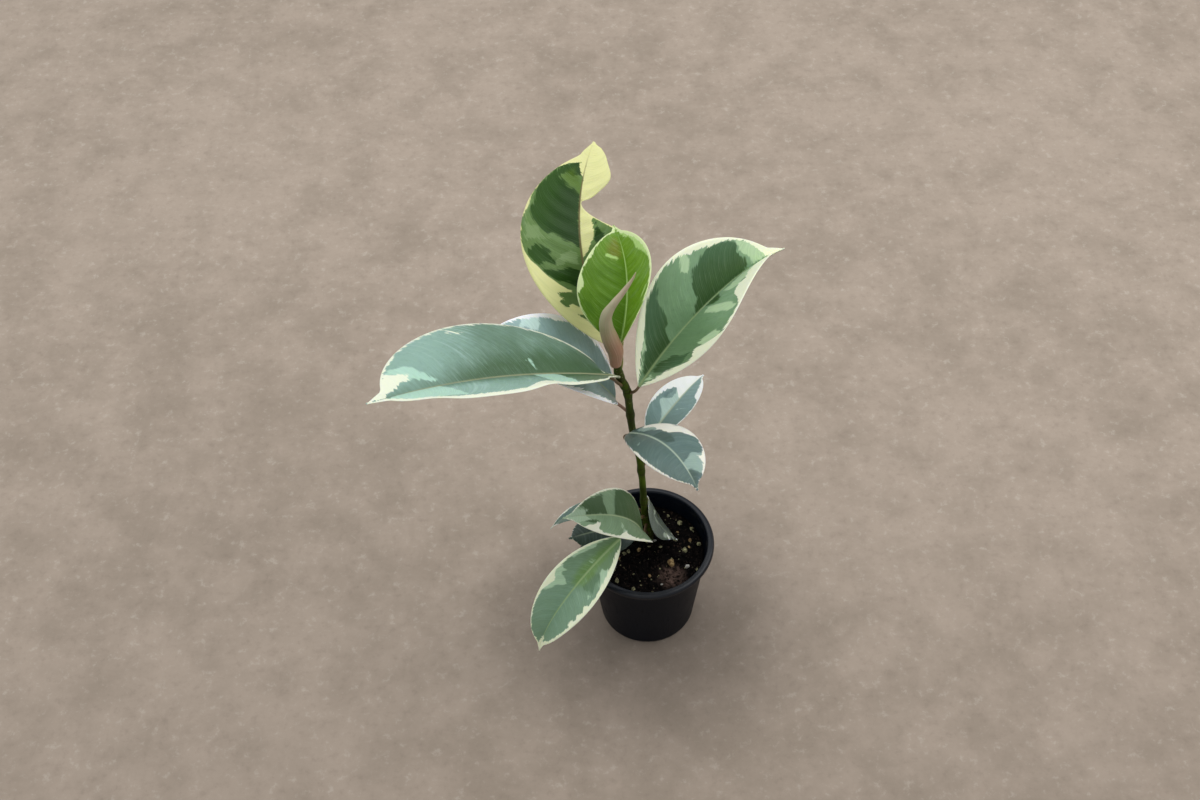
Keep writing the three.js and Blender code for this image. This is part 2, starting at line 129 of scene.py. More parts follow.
def bell(value, reach):
    """1 at 0, falling off smoothly on both sides."""
    return math.exp(-(value / reach) ** 2)


def along(stops, place):
    """The value at a place of a line of (place, value) stops."""
    if place <= stops[0][0]:
        return stops[0][1]
    for (start, low), (end, high) in zip(stops, stops[1:]):
        if place <= end:
            return mix(low, high, (place - start) / (end - start))
    return stops[-1][1]


def marks(text):
    """Pairs of percentages, such as "0 5, 40 12.5", as pairs of shares."""
    return [tuple(float(number) / 100 for number in pair.split()) for pair in text.split(",")]


def tint(code):
    """A colour code such as 5f7d62 as linear red, green, blue and alpha."""
    parts = [int(code[i:i + 2], 16) / 255 for i in (0, 2, 4)]
    return tuple(p / 12.92 if p <= 0.04045 else ((p + 0.055) / 1.055) ** 2.4 for p in parts) + (1,)


def smooth_line(points, steps):
    """Centripetal curve through the points, as steps + 1 places."""
    points = [Vector(p) for p in points]
    points = [points[0] * 2 - points[1]] + points + [points[-1] * 2 - points[-2]]
    spans = len(points) - 3
    places = []
    for step in range(steps + 1):
        span = min(int(step * spans / steps), spans - 1)
        share = step * spans / steps - span
        a, b, c, d = points[span:span + 4]
        knots = [0.0]
        for p, q in ((a, b), (b, c), (c, d)):
            knots.append(knots[-1] + max((q - p).length ** 0.5, 1e-4))
        k = mix(knots[1], knots[2], share)
        ab = a.lerp(b, (k - knots[0]) / (knots[1] - knots[0]))
        bc = b.lerp(c, (k - knots[1]) / (knots[2] - knots[1]))
        cd = c.lerp(d, (k - knots[2]) / (knots[3] - knots[2]))
        abc = ab.lerp(bc, (k - knots[0]) / (knots[2] - knots[0]))
        bcd = bc.lerp(cd, (k - knots[1]) / (knots[3] - knots[1]))
        places.append(abc.lerp(bcd, share))
    return places


# ---------------------------------------------------------------- shader graphs


class Wire:
    """A shader socket that can stand in a sum."""

    def __init__(self, graph, socket):
        self.graph, self.socket = graph, socket

    def __abs__(self):
        return self.graph.node("Math", dict(operation="ABSOLUTE"), {0: self})


def math_method(operation, swapped):
    """A method of Wire that stands for an operator, with the wire before it or after it."""
    def method(wire, other):
        values = (other, wire) if swapped else (wire, other)
        return wire.graph.node("Math", dict(operation=operation), dict(enumerate(values)))
    return method


for word, operation in (("add", "ADD"), ("sub", "SUBTRACT"), ("mul", "MULTIPLY"), ("truediv", "DIVIDE"),
                        ("mod", "FLOORED_MODULO")):
    setattr(Wire, f"__{word}__", math_method(operation, False))
    setattr(Wire, f"__r{word}__", math_method(operation, True))


class Graph:
    """The nodes of one material."""

    def __init__(self, name):
        self.material = bpy.data.materials.new(name)
        self.material.use_nodes = True
        self.tree = self.material.node_tree
        self.tree.nodes.clear()

    def node(self, kind, settings=None, sockets=None, out=0):
        """Adds a node, sets it up, fills its sockets and returns one of its outputs."""
        made = self.tree.nodes.new("ShaderNode" + kind)
        for name, value in (settings or {}).items():
            setattr(made, name, value)
        for name, value in (sockets or {}).items():
            if isinstance(value, Wire):
                self.tree.links.new(value.socket, made.inputs[name])
            else:
                made.inputs[name].default_value = value
        return Wire(self, made.outputs[out]) if len(made.outputs) else None

    def place(self):
        return self.node("TexCoord", out="Object")

    def axis(self, vector, name):
        return self.node("SeparateXYZ", None, {"Vector": vector}, name)

    def kept(self, name):
        """A value that the mesh keeps on its vertices."""
        return self.node("Attribute", dict(attribute_name=name), out="Fac")

    def away(self, place, centre):
        return self.node("VectorMath", dict(operation="DISTANCE"), {0: place, 1: centre}, "Value")

    def noise(self, place, scale, detail=2.0, rough=0.5, stretch=(1, 1, 1), flat=False):
        spread = self.node("VectorMath", dict(operation="MULTIPLY"), {0: place, 1: stretch})
        return self.node("TexNoise", dict(noise_dimensions="2D" if flat else "3D"),
                         {"Vector": spread, "Scale": scale, "Detail": detail, "Roughness": rough})

    def strokes(self, *kinds):
        """Where a place's side vein starts, and noises drawn out along the side veins."""
        lines = self.node("UVMap", dict(uv_map="veins"))
        drawn = []
        for kind in kinds:
            detail, rough, across, length = STROKES[kind]
            drawn.append(self.noise(lines, 1, detail, rough, (across, length, 1), True) - 0.5)
        return [self.axis(lines, "X")] + drawn

    def stripes(self, value, width):
        """1 on lines a width apart, 0 half way between them."""
        return abs(value % width / width - 0.5) * 2

    def step(self, value, low, high):
        """0 below low, 1 above high."""
        return self.node("MapRange", dict(interpolation_type="SMOOTHSTEP"),
                         {"Value": value, "From Min": low, "From Max": high})

    def blend(self, share, under, over):
        return self.node("Mix", dict(data_type="RGBA"), {0: share, 6: under, 7: over}, out=2)

    def coats(self, base, *coats):
        """Lays coats over a base, each a share and a colour or its code."""
        for share, colour in coats:
            base = self.blend(share, base, tint(colour) if isinstance(colour, str) else colour)
        return base

    def ramp(self, value, stops):
        made = self.node("ValToRGB", None, {"Fac": value})
        ends = made.socket.node.color_ramp.elements
        while len(ends) < len(stops):
            ends.new(0.5)
        for end, (place, code) in zip(ends, stops):
            end.position, end.color = place, tint(code)
        return made

    def finish(self, base, rough, relief=None, extra=None):
        """Closes the material. Relief is a height, a strength and a distance."""
        sockets = {"Base Color": base, "Roughness": rough, **(extra or {})}
        if relief:
            sockets["Normal"] = self.node("Bump", None, dict(zip(("Height", "Strength", "Distance"), relief)))
        surface = self.node("BsdfPrincipled", None, sockets)
        self.node("OutputMaterial", None, {"Surface": surface})
        return self.material


# ---------------------------------------------------------------- materials


def floor_finish(colour):
    """Pale gritty ground, with painted shade towards the front and a painted contact shadow round the pot's
    foot.
    """
    g = Graph("pale_floor_finish")
    place = g.place()
    cloud = g.noise(place, 2.2, 4, 0.5)
    blotch = g.noise(place, 16, 4, 0.65)
    grain = g.noise(place, 85, 4, 0.75)
    # painted contact shadow: the floor is darker round the pot's foot
    shade = 1 - g.step(g.away(place, FLOOR["shade"]), 0.04, 0.2)
    base = g.coats(colour,
                   (g.step(cloud * 0.6 + blotch * 0.9, 0.55, 1.0) * 0.8, "8f8172"),
                   (g.step(grain, 0.5, 0.72) * 0.22, "6e6054"),
                   ((1 - g.step(grain, 0.3, 0.46)) * 0.22, "d8cfc2"),
                   # painted shade: the floor is darker towards the front
                   ((1 - g.step(g.axis(place, "Y"), -0.5, 0.5)) * 0.22, "6a5c50"),
                   # painted contact shadow round the pot's foot
                   (shade * 0.45, "3c332c"))
    return g.finish(base, 0.85)


def matte_plastic(colour):
    """Black moulded plastic with faint dust and scuffs, glossier on the lip."""
    g = Graph("matte_pot_plastic")
    place = g.place()
    dust = g.step(g.noise(place, 38, 5, 0.65), 0.46, 0.74)
    scuff = g.step(g.noise(place, 210, 3, 0.6, (1, 1, 0.16)), 0.6, 0.72)
    grain = g.noise(place, 1900, 2)
    lying = g.step(g.axis(g.node("NewGeometry", out="Normal"), "Z"), 0.2, 0.9)
    lip = (POT["height"] - POT["lip_depth"]) * MM
    shine = g.step(g.axis(place, "Z"), lip - 0.004, lip) * 0.5 + dust * 0.04
    base = g.coats(colour, (dust * 0.018 + scuff * 0.02 + lying * dust * 0.03, "77706a"))
    return g.finish(base, 0.4 + dust * 0.1 + scuff * 0.1 - lying * 0.06,
                    (grain * 0.5 + scuff * 0.3, 0.25, 0.0003),
                    {"Specular IOR Level": 0.06, "Coat Weight": shine, "Coat Roughness": 0.3})


def damp_mix(colour):
    """Dark peaty potting mix, browner in one patch."""
    g = Graph("peaty_mix")
    place = g.place()
    clods = g.noise(place, 160, 6, 0.7)
    fibre = g.noise(place, 520, 4, 0.65, (1, 0.5, 1))
    brown = (1 - g.step(g.away(place, BROWN_PATCH), 0.004, 0.018)) * g.step(clods, 0.3, 0.6)
    base = g.coats(tint("020101"), (g.step(clods, 0.42, 0.75), colour),
                   (g.step(fibre, 0.6, 0.78) * 0.3, "3b2a21"), (brown * 0.6, "7c645a"))
    return g.finish(base, 0.95 - clods * 0.15, (clods + fibre * 0.5, 0.9, 0.0016),
                    {"Specular IOR Level": 0.08})


def bits_finish(name, low, high, rough, scale):
    """Two tones in blotches of one size, for crumbs, perlite, bark and stones."""
    g = Graph(name)
    grain = g.noise(g.place(), scale, 4, 0.6)
    base = g.coats(tint(low), (g.step(grain, 0.35, 0.68), high))
    return g.finish(base, rough + grain * 0.1, (grain, 0.5, 0.0004), {"Specular IOR Level": 0.2})


def stem_skin():
    """Smooth olive bark, paler lenticels, brown at the nodes and woody near the mix."""
    g = Graph("olive_stem_skin")
    place = g.place()
    tone = g.noise(place, 60, 4, 0.6, (1, 1, 0.5))
    streak = g.noise(place, 900, 3, 0.6, (1, 1, 0.06))
    speck = g.node("TexVoronoi", None, {"Vector": place, "Scale": 330, "Randomness": 1})
    lenticel = (1 - g.step(speck, 0.1, 0.26)) * g.step(g.noise(place, 70, 2), 0.45, 0.6)
    woody = 1 - g.step(g.axis(place, "Z"), 0.1, 0.19)
    base = g.coats(tint("283400"), (g.step(tone, 0.35, 0.7), "485c08"), (woody * 0.25, "3d3a1c"),
                   (g.step(streak, 0.5, 0.8) * 0.35, "56622a"), (lenticel * 0.6, "8f8a5c"),
                   (g.kept("scar") * 0.85, "2a1d0e"))
    return g.finish(base, 0.5 + tone * 0.15, (streak * 0.5 + lenticel + tone * 0.4, 0.4, 0.0004),
                    {"Specular IOR Level": 0.2})


def sheath_skin():
    """Dusty pink scale with a greenish middle and fine lengthwise veins."""
    g = Graph("pink_sheath_skin")
    up = g.kept("up")
    vein = g.noise(g.node("CombineXYZ", None, {"X": g.kept("turn"), "Y": up}), 1, 3, 0.6, (46, 1.6, 1), True)
    cloud = g.noise(g.place(), 70, 3)
    base = g.ramp(up, ((0.0, "a97a60"), (0.2, "a07a60"), (0.4, "a39a78"), (0.58, "b5ad8f"), (0.76, "c6b49a"),
                       (1.0, "b4b284")))
    base = g.coats(base, (g.step(vein, 0.5, 0.75) * 0.5, "c9a79a"),
                   (g.step(cloud, 0.5, 0.75) * 0.35, "8f8a62"), (g.kept("lip") * 0.8, "d9a9a0"))
    return g.finish(base, 0.46, (vein, 0.35, 0.0005),
                    {"Subsurface Weight": 0.12, "Subsurface Radius": (0.003, 0.0015, 0.001),
                     "Subsurface Scale": 1.0})


class LeafTop:
    """The upper side of a leaf: green, deep and pale fields with cream edges that follow the veins."""

    def __init__(self, name, paint, lift):
        self.g = g = Graph(name + "_top")
        self.paint = paint
        self.dye = {kind: tuple(part * lift for part in tint(paint[kind])[:3]) + (1,)
                    for kind in ("green", "far", "deep", "cool", "pale", "flush", "rib")}
        self.field = {kind: g.kept(kind) for kind in FIELDS}
        self.place = g.place()
        self.vein, self.teeth, self.flame, self.hair, self.band = g.strokes("teeth", "flame", "hair", "band")
        self.cloud = g.noise(self.place, 26, 3, 0.55) - 0.5

    def patches(self):
        """Where the patches of each colour lie, their borders torn along the side veins."""
        g, field, hair, cloud = self.g, self.field, self.hair, self.cloud
        torn = self.teeth * 8 + self.flame * 5
        tongues = torn * self.paint.get("tongues", self.paint["jag"])
        return (g.step(field["cream"] + torn * self.paint["jag"] + hair * 1.4, -0.3, 0.5),
                g.step(field["pale"] + tongues * 0.8 + hair * 2.5 + cloud * 3, -0.6, 0.8),
                g.step(field["deep"] + tongues * 0.9 + hair * 2 + cloud * 4, -0.7, 1.1),
                g.step(field["flush"] + cloud * 6 + hair * 4, -3.5, 3.5))

    def greens(self, deep, flush):
        """The green ground with its deep patches, flush, streaks, pale streaks of painted sheen and mottling.
        """
        g, paint, dye, field, hair, cloud = self.g, self.paint, self.dye, self.field, self.hair, self.cloud
        # tone leads from green towards far, which is partly painted sheen on some leaves
        tone = g.step(field["tone"] + cloud * 0.45 + self.flame * 0.35, 0.0, 1.0)
        dark = g.blend(g.step(field["out"] + cloud * 0.6, 0.15, 0.95), dye["deep"], dye["cool"])
        calm = 1 - deep * 0.8
        pale_hair = g.step(hair + cloud * 0.5, 0.06, 0.34)
        dark_hair = g.step(0 - hair + cloud * 0.5, 0.08, 0.36)
        # painted sheen: pale blue streaks along the side veins, where the glossy leaf would mirror the sky
        painted_sheen = g.step(self.band + cloud * 0.7, 0.0, 0.36) * g.step(field["tone"], 0.15, 0.8)
        mottle = g.step(g.noise(self.place, 240, 4, 0.7), 0.48, 0.72)
        return g.coats(dye["green"], (tone, dye["far"]), (deep * 0.95, dark),
                       (flush * paint["flush_depth"], dye["flush"]),
                       (pale_hair * calm * paint["streaks"], dye["pale"]), (dark_hair * 0.22, dye["deep"]),
                       (painted_sheen * calm * paint["painted_sheen"], "b6cfca"), (mottle * 0.16, dye["deep"]))

    def ridges(self):
        """Raised side veins with finer ones between them."""
        g = self.g
        side, fine = g.stripes(self.vein + self.teeth * 4, 5.2), g.stripes(self.vein + self.teeth * 3, 1.7)
        return (g.step(side, 0.75, 1.0) * g.step(self.cloud + self.flame, -0.25, 0.3)
                + g.step(fine, 0.4, 1.0) * 0.35)

    def material(self, settings):
        g, paint, dye, hair, rib = self.g, self.paint, self.dye, self.hair, self.field["rib"]
        cream, pale, deep, flush = self.patches()
        ridge = self.ridges()
        pale_dye = g.blend(g.step(self.flame, -0.2, 0.25) * 0.3, dye["pale"], dye["far"])
        cream_dye = g.blend(g.step(hair + self.teeth, -0.1, 0.5) * 0.16, tint(paint["cream"]), dye["pale"])
        base = g.coats(self.greens(deep, flush), (pale * 0.86, pale_dye), (cream, cream_dye),
                       (ridge * paint["veins"], dye["pale"]), (rib * 0.85, dye["rib"]))
        height = hair * 0.5 + ridge * 0.4 + g.noise(self.place, 700, 2) * 0.15 + rib * 0.3
        rough = settings.gloss + hair * 0.16 + self.cloud * 0.12 + cream * 0.08
        return g.finish(base, rough, (height, settings.relief, 0.0005),
                        {"Specular IOR Level": paint["shine"], **THROUGH})


def leaf_under(name, paint):
    """The duller, paler underside with raised veins."""
    g = Graph(name + "_under")
    vein, teeth, flame = g.strokes("teeth", "flame")
    cream = g.step(g.kept("cream") + teeth * 8 + flame * 5, -0.6, 0.9)
    ridge = g.step(g.stripes(vein + teeth * 1.5, 6.2), 0.8, 1.0)
    base = g.coats(tint(paint["under"]), (g.step(flame, -0.2, 0.3), paint["under_light"]),
                   (cream * 0.8, paint["cream"]), (ridge * 0.3, paint["under_light"]),
                   (g.kept("rib") * 0.8, paint["keel"]))
    return g.finish(base, 0.6, (ridge + flame * 0.3, 0.4, 0.0006), THROUGH)


def stalk_skin(name, low, high):
    """Two blended tones of a leaf's stalk."""
    g = Graph(name + "_stalk")
    tone = g.noise(g.place(), 150, 4, 0.6)
    base = g.coats(tint(low), (g.step(tone, 0.35, 0.7), high))
    return g.finish(base, 0.5 + tone * 0.1, (tone, 0.3, 0.0004))


# ---------------------------------------------------------------- mesh helpers


def linked(mesh, name):
    """Turns a bmesh into an object of the scene."""
    data = bpy.data.meshes.new(name)
    mesh.to_mesh(data)
    mesh.free()
    made = bpy.data.objects.new(name, data)
    bpy.context.scene.collection.objects.link(made)
    return made


def finished(mesh, name, materials, node, smooth=True):
    """Turns a bmesh in millimetres into a placed piece that stands for a node of the frame."""
    bmesh.ops.scale(mesh, vec=(MM, MM, MM), verts=mesh.verts)
    for face in mesh.faces:
        face.smooth = smooth
    piece = linked(mesh, name)
    for material in materials:
        piece.data.materials.append(material)
    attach(piece, "root")
    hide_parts(node)
    return piece


def sort_out(grown, kind):
    return [part for part in grown if isinstance(part, kind)]


def spun(profile, turns, weld, rounding=0):
    """A mesh spun from a line of (radius, height) points, its corners rounded a little."""
    mesh = bmesh.new()
    verts = [mesh.verts.new((radius, 0, height)) for radius, height in profile]
    for pair in zip(verts, verts[1:]):
        mesh.edges.new(pair)
    if rounding:
        bmesh.ops.bevel(mesh, geom=verts[1:-1], offset=rounding, affect="VERTICES", segments=3, profile=0.5,
                        material=-1)
    bmesh.ops.spin(mesh, geom=mesh.verts[:] + mesh.edges[:], cent=(0, 0, 0), axis=(0, 0, 1), angle=math.tau,
                   steps=turns, use_merge=True)
    bmesh.ops.remove_doubles(mesh, verts=mesh.verts, dist=weld)
    return mesh


def ring_places(line, radii):
    """A matrix for each place of a line that turns a unit circle to stand square on it."""
    matrices = []
    heading = (line[1] - line[0]).normalized()
    turn = Vector((0, 0, 1)).rotation_difference(heading)
    for i, spot in enumerate(line):
        ahead = (line[min(i + 1, len(line) - 1)] - line[max(i - 1, 0)]).normalized()
        turn = heading.rotation_difference(ahead) @ turn
        heading = ahead
        size = Matrix.Diagonal((radii[i], radii[i], radii[i], 1))
        matrices.append(Matrix.Translation(spot) @ turn.to_matrix().to_4x4() @ size)
    return matrices


def add_tube(mesh, line, radii, sides, material=0):
    """Extrudes a circle from place to place of a line, closed at both ends. Returns its rings."""
    places = ring_places(line, radii)
    ring = bmesh.ops.create_circle(mesh, cap_ends=True, segments=sides, radius=1, matrix=places[0])["verts"]
    rings = [ring]
    faces = {f for v in ring for f in v.link_faces}
    edges = list({e for v in ring for e in v.link_edges})
    for last, here in zip(places, places[1:]):
        grown = bmesh.ops.extrude_edge_only(mesh, edges=edges)["geom"]
        ring = sort_out(grown, bmesh.types.BMVert)
        edges = sort_out(grown, bmesh.types.BMEdge)
        faces.update(sort_out(grown, bmesh.types.BMFace))
        bmesh.ops.transform(mesh, matrix=here @ last.inverted(), verts=ring)
        rings.append(ring)
    faces.update(bmesh.ops.contextual_create(mesh, geom=edges)["faces"])
    for face in faces:
        face.material_index = material
    bmesh.ops.recalc_face_normals(mesh, faces=list(faces))
    return rings


def inner_radius(height):
    """The radius of the pot's inside at a height."""
    share = (height - POT["floor"]) / (POT["height"] - POT["lip_depth"] - POT["wall"] - POT["floor"])
    return mix(POT["foot"], POT["shoulder"], share) - POT["wall"]


def soil_height(x, y):
    reach = min(1.0, math.hypot(x, y) / inner_radius(SOIL["level"]))
    waves = sum(h * math.sin(px * x + py * y + ph) for h, px, py, ph in SOIL["waves"])
    return SOIL["level"] + SOIL["mound"] * (1 - reach ** 2) + waves * (1 - reach ** 6)


def stem_at(line, height):
    """The place on the stem's middle line at a height."""
    for low, high in zip(line, line[1:]):
        if low.z <= height <= high.z:
            return low.lerp(high, (height - low.z) / (high.z - low.z))
    return line[-1].copy()


# ---------------------------------------------------------------- the leaves


def side_of(a):
    return LEFT if a >= 0 else RIGHT


class LeafShape:
    """Places of one leaf by t, from base to tip, and a, from -1 at the right margin to 1 at the left."""

    def __init__(self, row):
        self.row = row
        self.widths = {LEFT: row["left"], RIGHT: row["right"]}
        self.line = [Vector(row["base"])]
        rows = BLADE["rows"]
        for i in range(rows):
            forward = self.directions((i + 0.5) / rows)[0]
            self.line.append(self.line[-1] + forward * (row["length"] / rows))

    def directions(self, t):
        """The ways ahead, to the left and up from the midrib."""
        row = self.row
        turn = math.radians(row["heading"] + row["sweep"] * t)
        climb = math.radians(row["rise"] - row["droop"] * t + row["flick"] * ease(t, BLADE["flick_from"], 1))
        lean = math.radians(row["roll"] + row["twist"] * t)
        flat = math.cos(climb)
        forward = Vector((flat * math.cos(turn), flat * math.sin(turn), math.sin(climb)))
        level = Vector((-math.sin(turn), math.cos(turn), 0))
        upright = forward.cross(level)
        left = level * math.cos(lean) + upright * math.sin(lean)
        up = upright * math.cos(lean) - level * math.sin(lean)
        return forward, left, up

    def middle(self, t):
        """The place on the midrib."""
        place = t * BLADE["rows"]
        step = min(int(place), BLADE["rows"] - 1)
        return self.line[step].lerp(self.line[step + 1], place - step)

    def outline(self, t, side):
        """The half width as a share, from a full body, a drawn-out tip and an ear at the base."""
        row, lobe, start = self.row, 0, 0
        if row["ear"]:
            length, ears = row["ear"]
            start = length
            lobe = ears[side] * (1 - ease(t, start, BLADE["ear_end"])) * clamp(t / start)
        share = clamp((t - start) / (BLADE["tip_start"] - start))
        body = math.sin(math.pi * share ** row["belly"]) ** row["full"] if 0 < share < 1 else 0
        tip = BLADE["tip_width"] * ease(t, BLADE["tip_ease"], BLADE["tip_start"])
        tip *= clamp((1 - t) / (1 - BLADE["tip_start"]))
        return (body ** 3 + tip ** 3 + lobe ** 3) ** (1 / 3)

    def half_width(self, t, side):
        row = self.row
        width = self.widths[side] * self.outline(t, side)
        if side == RIGHT and row["notch"]:
            cut, crown = row["notch"], row["crown"]
            width *= 1 - cut["depth"] * bell(t - cut["at"], cut["above"] if t > cut["at"] else cut["below"])
            top = crown["width"] * math.sqrt(max(0, 1 - ((t - crown["at"]) / crown["reach"]) ** 2))
            width = (width ** 3 + top ** 3) ** (1 / 3)
        return max(width, BLADE["narrowest"])

    def vein(self, t, a):
        """Where on the midrib the side vein through a place starts, in millimetres."""
        width = self.half_width(t, side_of(a))
        return t * self.row["length"] - width * (BLADE["slant"] * abs(a) + BLADE["loop"] * a ** 4)

    def spot(self, t, a):
        """The middle of the blade and its upward direction there."""
        row, side, share = self.row, side_of(a), abs(a)
        width = self.half_width(t, side)
        _, left, up = self.directions(t)
        fold = math.radians(row["fold"] - row["unfold"] * t)
        curl = math.radians(row["camber"])
        angle = fold - curl * share
        if curl:
            out = width * (math.sin(fold) - math.sin(angle)) / curl
            lift = width * (math.cos(angle) - math.cos(fold)) / curl
        else:
            out, lift = width * share * math.cos(fold), width * share * math.sin(fold)
        height, length = row["quilt"]
        puckers = height * math.sin(math.tau * self.vein(t, a) / length)
        lift += puckers * math.sin(math.pi * min(share * 1.1, 1)) * math.sin(math.pi * t)
        for wave_side, at, reach, height in row["waves"]:
            if wave_side == side:
                lift += height * share ** 2.2 * bell(t - at, reach)
        upward = up * math.cos(angle) - left * (side * math.sin(angle))
        return self.middle(t) + left * (side * out) + up * lift, upward

    def petiole(self, stem_line):
        """Places along the stalk, from the stem to the underside of the blade."""
        forward, _, up = self.directions(self.row["joins"])
        end = self.middle(self.row["joins"]) - up * (PETIOLE["radius"] * PETIOLE["seat"])
        start = stem_at(stem_line, self.row["grows"])
        reach = (end - start).length
        outward = Vector((end.x - start.x, end.y - start.y, 0)).normalized() + Vector((0, 0, 1))
        pull = start + outward * (reach * PETIOLE["leave"])
        push = end - forward * (reach * PETIOLE["arrive"])
        places = []
        for i in range(PETIOLE["steps"] + 1):
            s = i / PETIOLE["steps"]
            leaving = start * (1 - s) ** 3 + pull * (3 * s * (1 - s) ** 2)
            places.append(leaving + push * (3 * s * s * (1 - s)) + end * s ** 3)
        return places + [end + forward * PETIOLE["overlap"]]


def patch_depth(corners, spot):
    """How deep a spot lies inside a patch with these corners, both in millimetres along and across."""
    if spot.x < min(p.x for p in corners) - FAR or spot.x > max(p.x for p in corners) + FAR:
        return -FAR
    inside, nearest = False, FAR
    for p, q in zip(corners, corners[1:] + corners[:1]):
        edge = q - p
        share = clamp((spot - p).dot(edge) / max(edge.length_squared, 1e-9))
        nearest = min(nearest, (spot - p - edge * share).length)
        if (p.y > spot.y) != (q.y > spot.y) and spot.x < p.x + edge.x * (spot.y - p.y) / edge.y:
            inside = not inside
    return nearest if inside else -nearest


class LeafPaint:
    """Where the colours of one leaf lie, measured on its shape."""

    def __init__(self, shape, paint):
        self.shape, self.paint = shape, paint
        self.margins = {LEFT: marks(paint["left"]), RIGHT: marks(paint["right"])}
        self.tones = {LEFT: marks(paint["tone_left"]), RIGHT: marks(paint["tone_right"])}
        self.patches = []
        for patch in filter(None, paint["patches"].split(";")):
            kind, sides, corners = patch.split(None, 2)
            for side in SIDES[sides]:
                self.patches.append((kind, side, self.measured(marks(corners), side)))

    def measured(self, corners, side):
        length, width = self.shape.row["length"], self.shape.half_width
        return [Vector((t * length, a * width(clamp(t), side))) for t, a in corners]

    def wandered(self, spot, side, share):
        """The spot pushed a little way by noise, so that no border is straight."""
        seed = Vector((spot.x * DRIFT["along"], side * spot.y * DRIFT["across"], self.shape.row["length"]))
        drift = noise.noise_vector(seed) * DRIFT["reach"]
        drift += noise.noise_vector(seed * DRIFT["finer"]) * DRIFT["finer_reach"]
        return spot + Vector((drift.x, drift.y * min(1, share * 2)))

    def fields(self, t, a):
        """How deep a place lies in each field of colour, in millimetres, and shares that colour the leaf."""
        side, share = side_of(a), abs(a)
        width = self.shape.half_width(t, side)
        spot = self.wandered(Vector((t * self.shape.row["length"], share * width)), side, share)
        depths = dict(cream=along(self.margins[side], t) * width - (1 - share) * width, green=-math.inf,
                      pale=-FAR, deep=-FAR, flush=-FAR)
        for kind, patch_side, corners in self.patches:
            if patch_side == side:
                depths[kind] = max(depths[kind], patch_depth(corners, spot))
        depths["cream"] = min(depths["cream"], -depths.pop("green"))
        depths["pale"] = max(depths["pale"], depths["cream"] - DRIFT["pale_rim"])
        # tone leads from green towards far, which is partly painted sheen on some leaves
        tone = along(self.tones[side], t)
        tone += self.paint["outer"] * share - self.paint["core"] * bell(share, 0.3)
        rib = math.exp(-(share * width / along(RIB_WIDTHS, t)) ** 4) * (1 - ease(t, 0.75, 1))
        return dict(depths, tone=tone, out=share, rib=rib)


def flat_blade(length):
    """A blade's two skins, still flat, with t and a on their vertices. Returns the lower skin as well."""
    mesh = bmesh.new()
    rows = max(BLADE["fewest_rows"], int(BLADE["rows"] * length / BLADE["longest"]))
    bmesh.ops.create_grid(mesh, x_segments=BLADE["columns"], y_segments=rows, size=1)
    layers = mesh.verts.layers.float
    for kind in ("t", "a") + FIELDS:
        layers.new(kind)
    for vert in mesh.verts:
        vert[layers["t"]] = clamp((vert.co.y + 1) / 2)
        vert[layers["a"]] = -vert.co.x * mix(BLADE["spread"], 1, abs(vert.co.x))
    mesh.loops.layers.uv.new("veins")
    grown = bmesh.ops.extrude_face_region(mesh, geom=mesh.faces[:], use_keep_orig=True)["geom"]
    return mesh, set(grown)


def shape_blade(mesh, under, shape, paint):
    """Bends both skins to the leaf's shape and notes its colour fields on them."""
    layers = mesh.verts.layers.float
    fields = {}
    for vert in mesh.verts:
        t, a = vert[layers["t"]], vert[layers["a"]]
        middle, upward = shape.spot(t, a)
        width = shape.half_width(t, side_of(a))
        near = bell(abs(a) * width, BLADE["rib"]) * (1 - ease(t, 0.8, 1) * 0.8)
        thick = mix(BLADE["edge_share"], 1, clamp((1 - abs(a)) * width / BLADE["edge"])) * BLADE["thickness"]
        if vert in under:
            keel = BLADE["keel"] * near * (1 - BLADE["keel_taper"] * t)
            vert.co = middle - upward * (thick / 2 + keel)
        else:
            vert.co = middle + upward * (thick / 2 - BLADE["groove"] * near)
        key = (round(t, 5), round(a, 5))
        if key not in fields:
            fields[key] = paint.fields(t, a)
        for kind in FIELDS:
            vert[layers[kind]] = fields[key][kind]


def lay_veins(mesh, under, shape):
    """Gives the lower skin its own material, and every corner its place among the side veins."""
    layers, veins = mesh.verts.layers.float, mesh.loops.layers.uv["veins"]
    for face in mesh.faces:
        face.material_index = 1 if face in under else 0
        for loop in face.loops:
            t, a = loop.vert[layers["t"]], loop.vert[layers["a"]]
            loop[veins].uv = (shape.vein(t, a), shape.half_width(t, side_of(a)) * a)


def add_stalk(mesh, shape, stem_line):
    """A stalk, thicker where it leaves the stem, with its end sunk in the blade."""
    stalk = shape.petiole(stem_line)
    last = len(stalk) - 1
    radii = []
    for i in range(last + 1):
        flare = 1 + PETIOLE["flare"] * bell(i, PETIOLE["flare_reach"])
        radii.append(PETIOLE["radius"] * (1 - PETIOLE["taper"] * i / last) * flare)
    radii[-1] *= PETIOLE["end"]
    add_tube(mesh, stalk, radii, PETIOLE["sides"], material=2)


def make_leaf(row, stem_line, settings):
    row = dict(PLAIN_LEAF, **row)
    name, paint = row["name"], dict(GROWN, **PAINTS[row["name"]])
    shape = LeafShape(row)
    mesh, under = flat_blade(row["length"])
    shape_blade(mesh, under, shape, LeafPaint(shape, paint))
    lay_veins(mesh, under, shape)
    bmesh.ops.remove_doubles(mesh, verts=mesh.verts, dist=BLADE["weld"])
    bmesh.ops.recalc_face_normals(mesh, faces=mesh.faces)
    add_stalk(mesh, shape, stem_line)
    materials = [LeafTop(name, paint, settings.lift).material(settings), leaf_under(name, paint),
                 stalk_skin(name, *paint["stalk"])]
    finished(mesh, name, materials, row["node"])


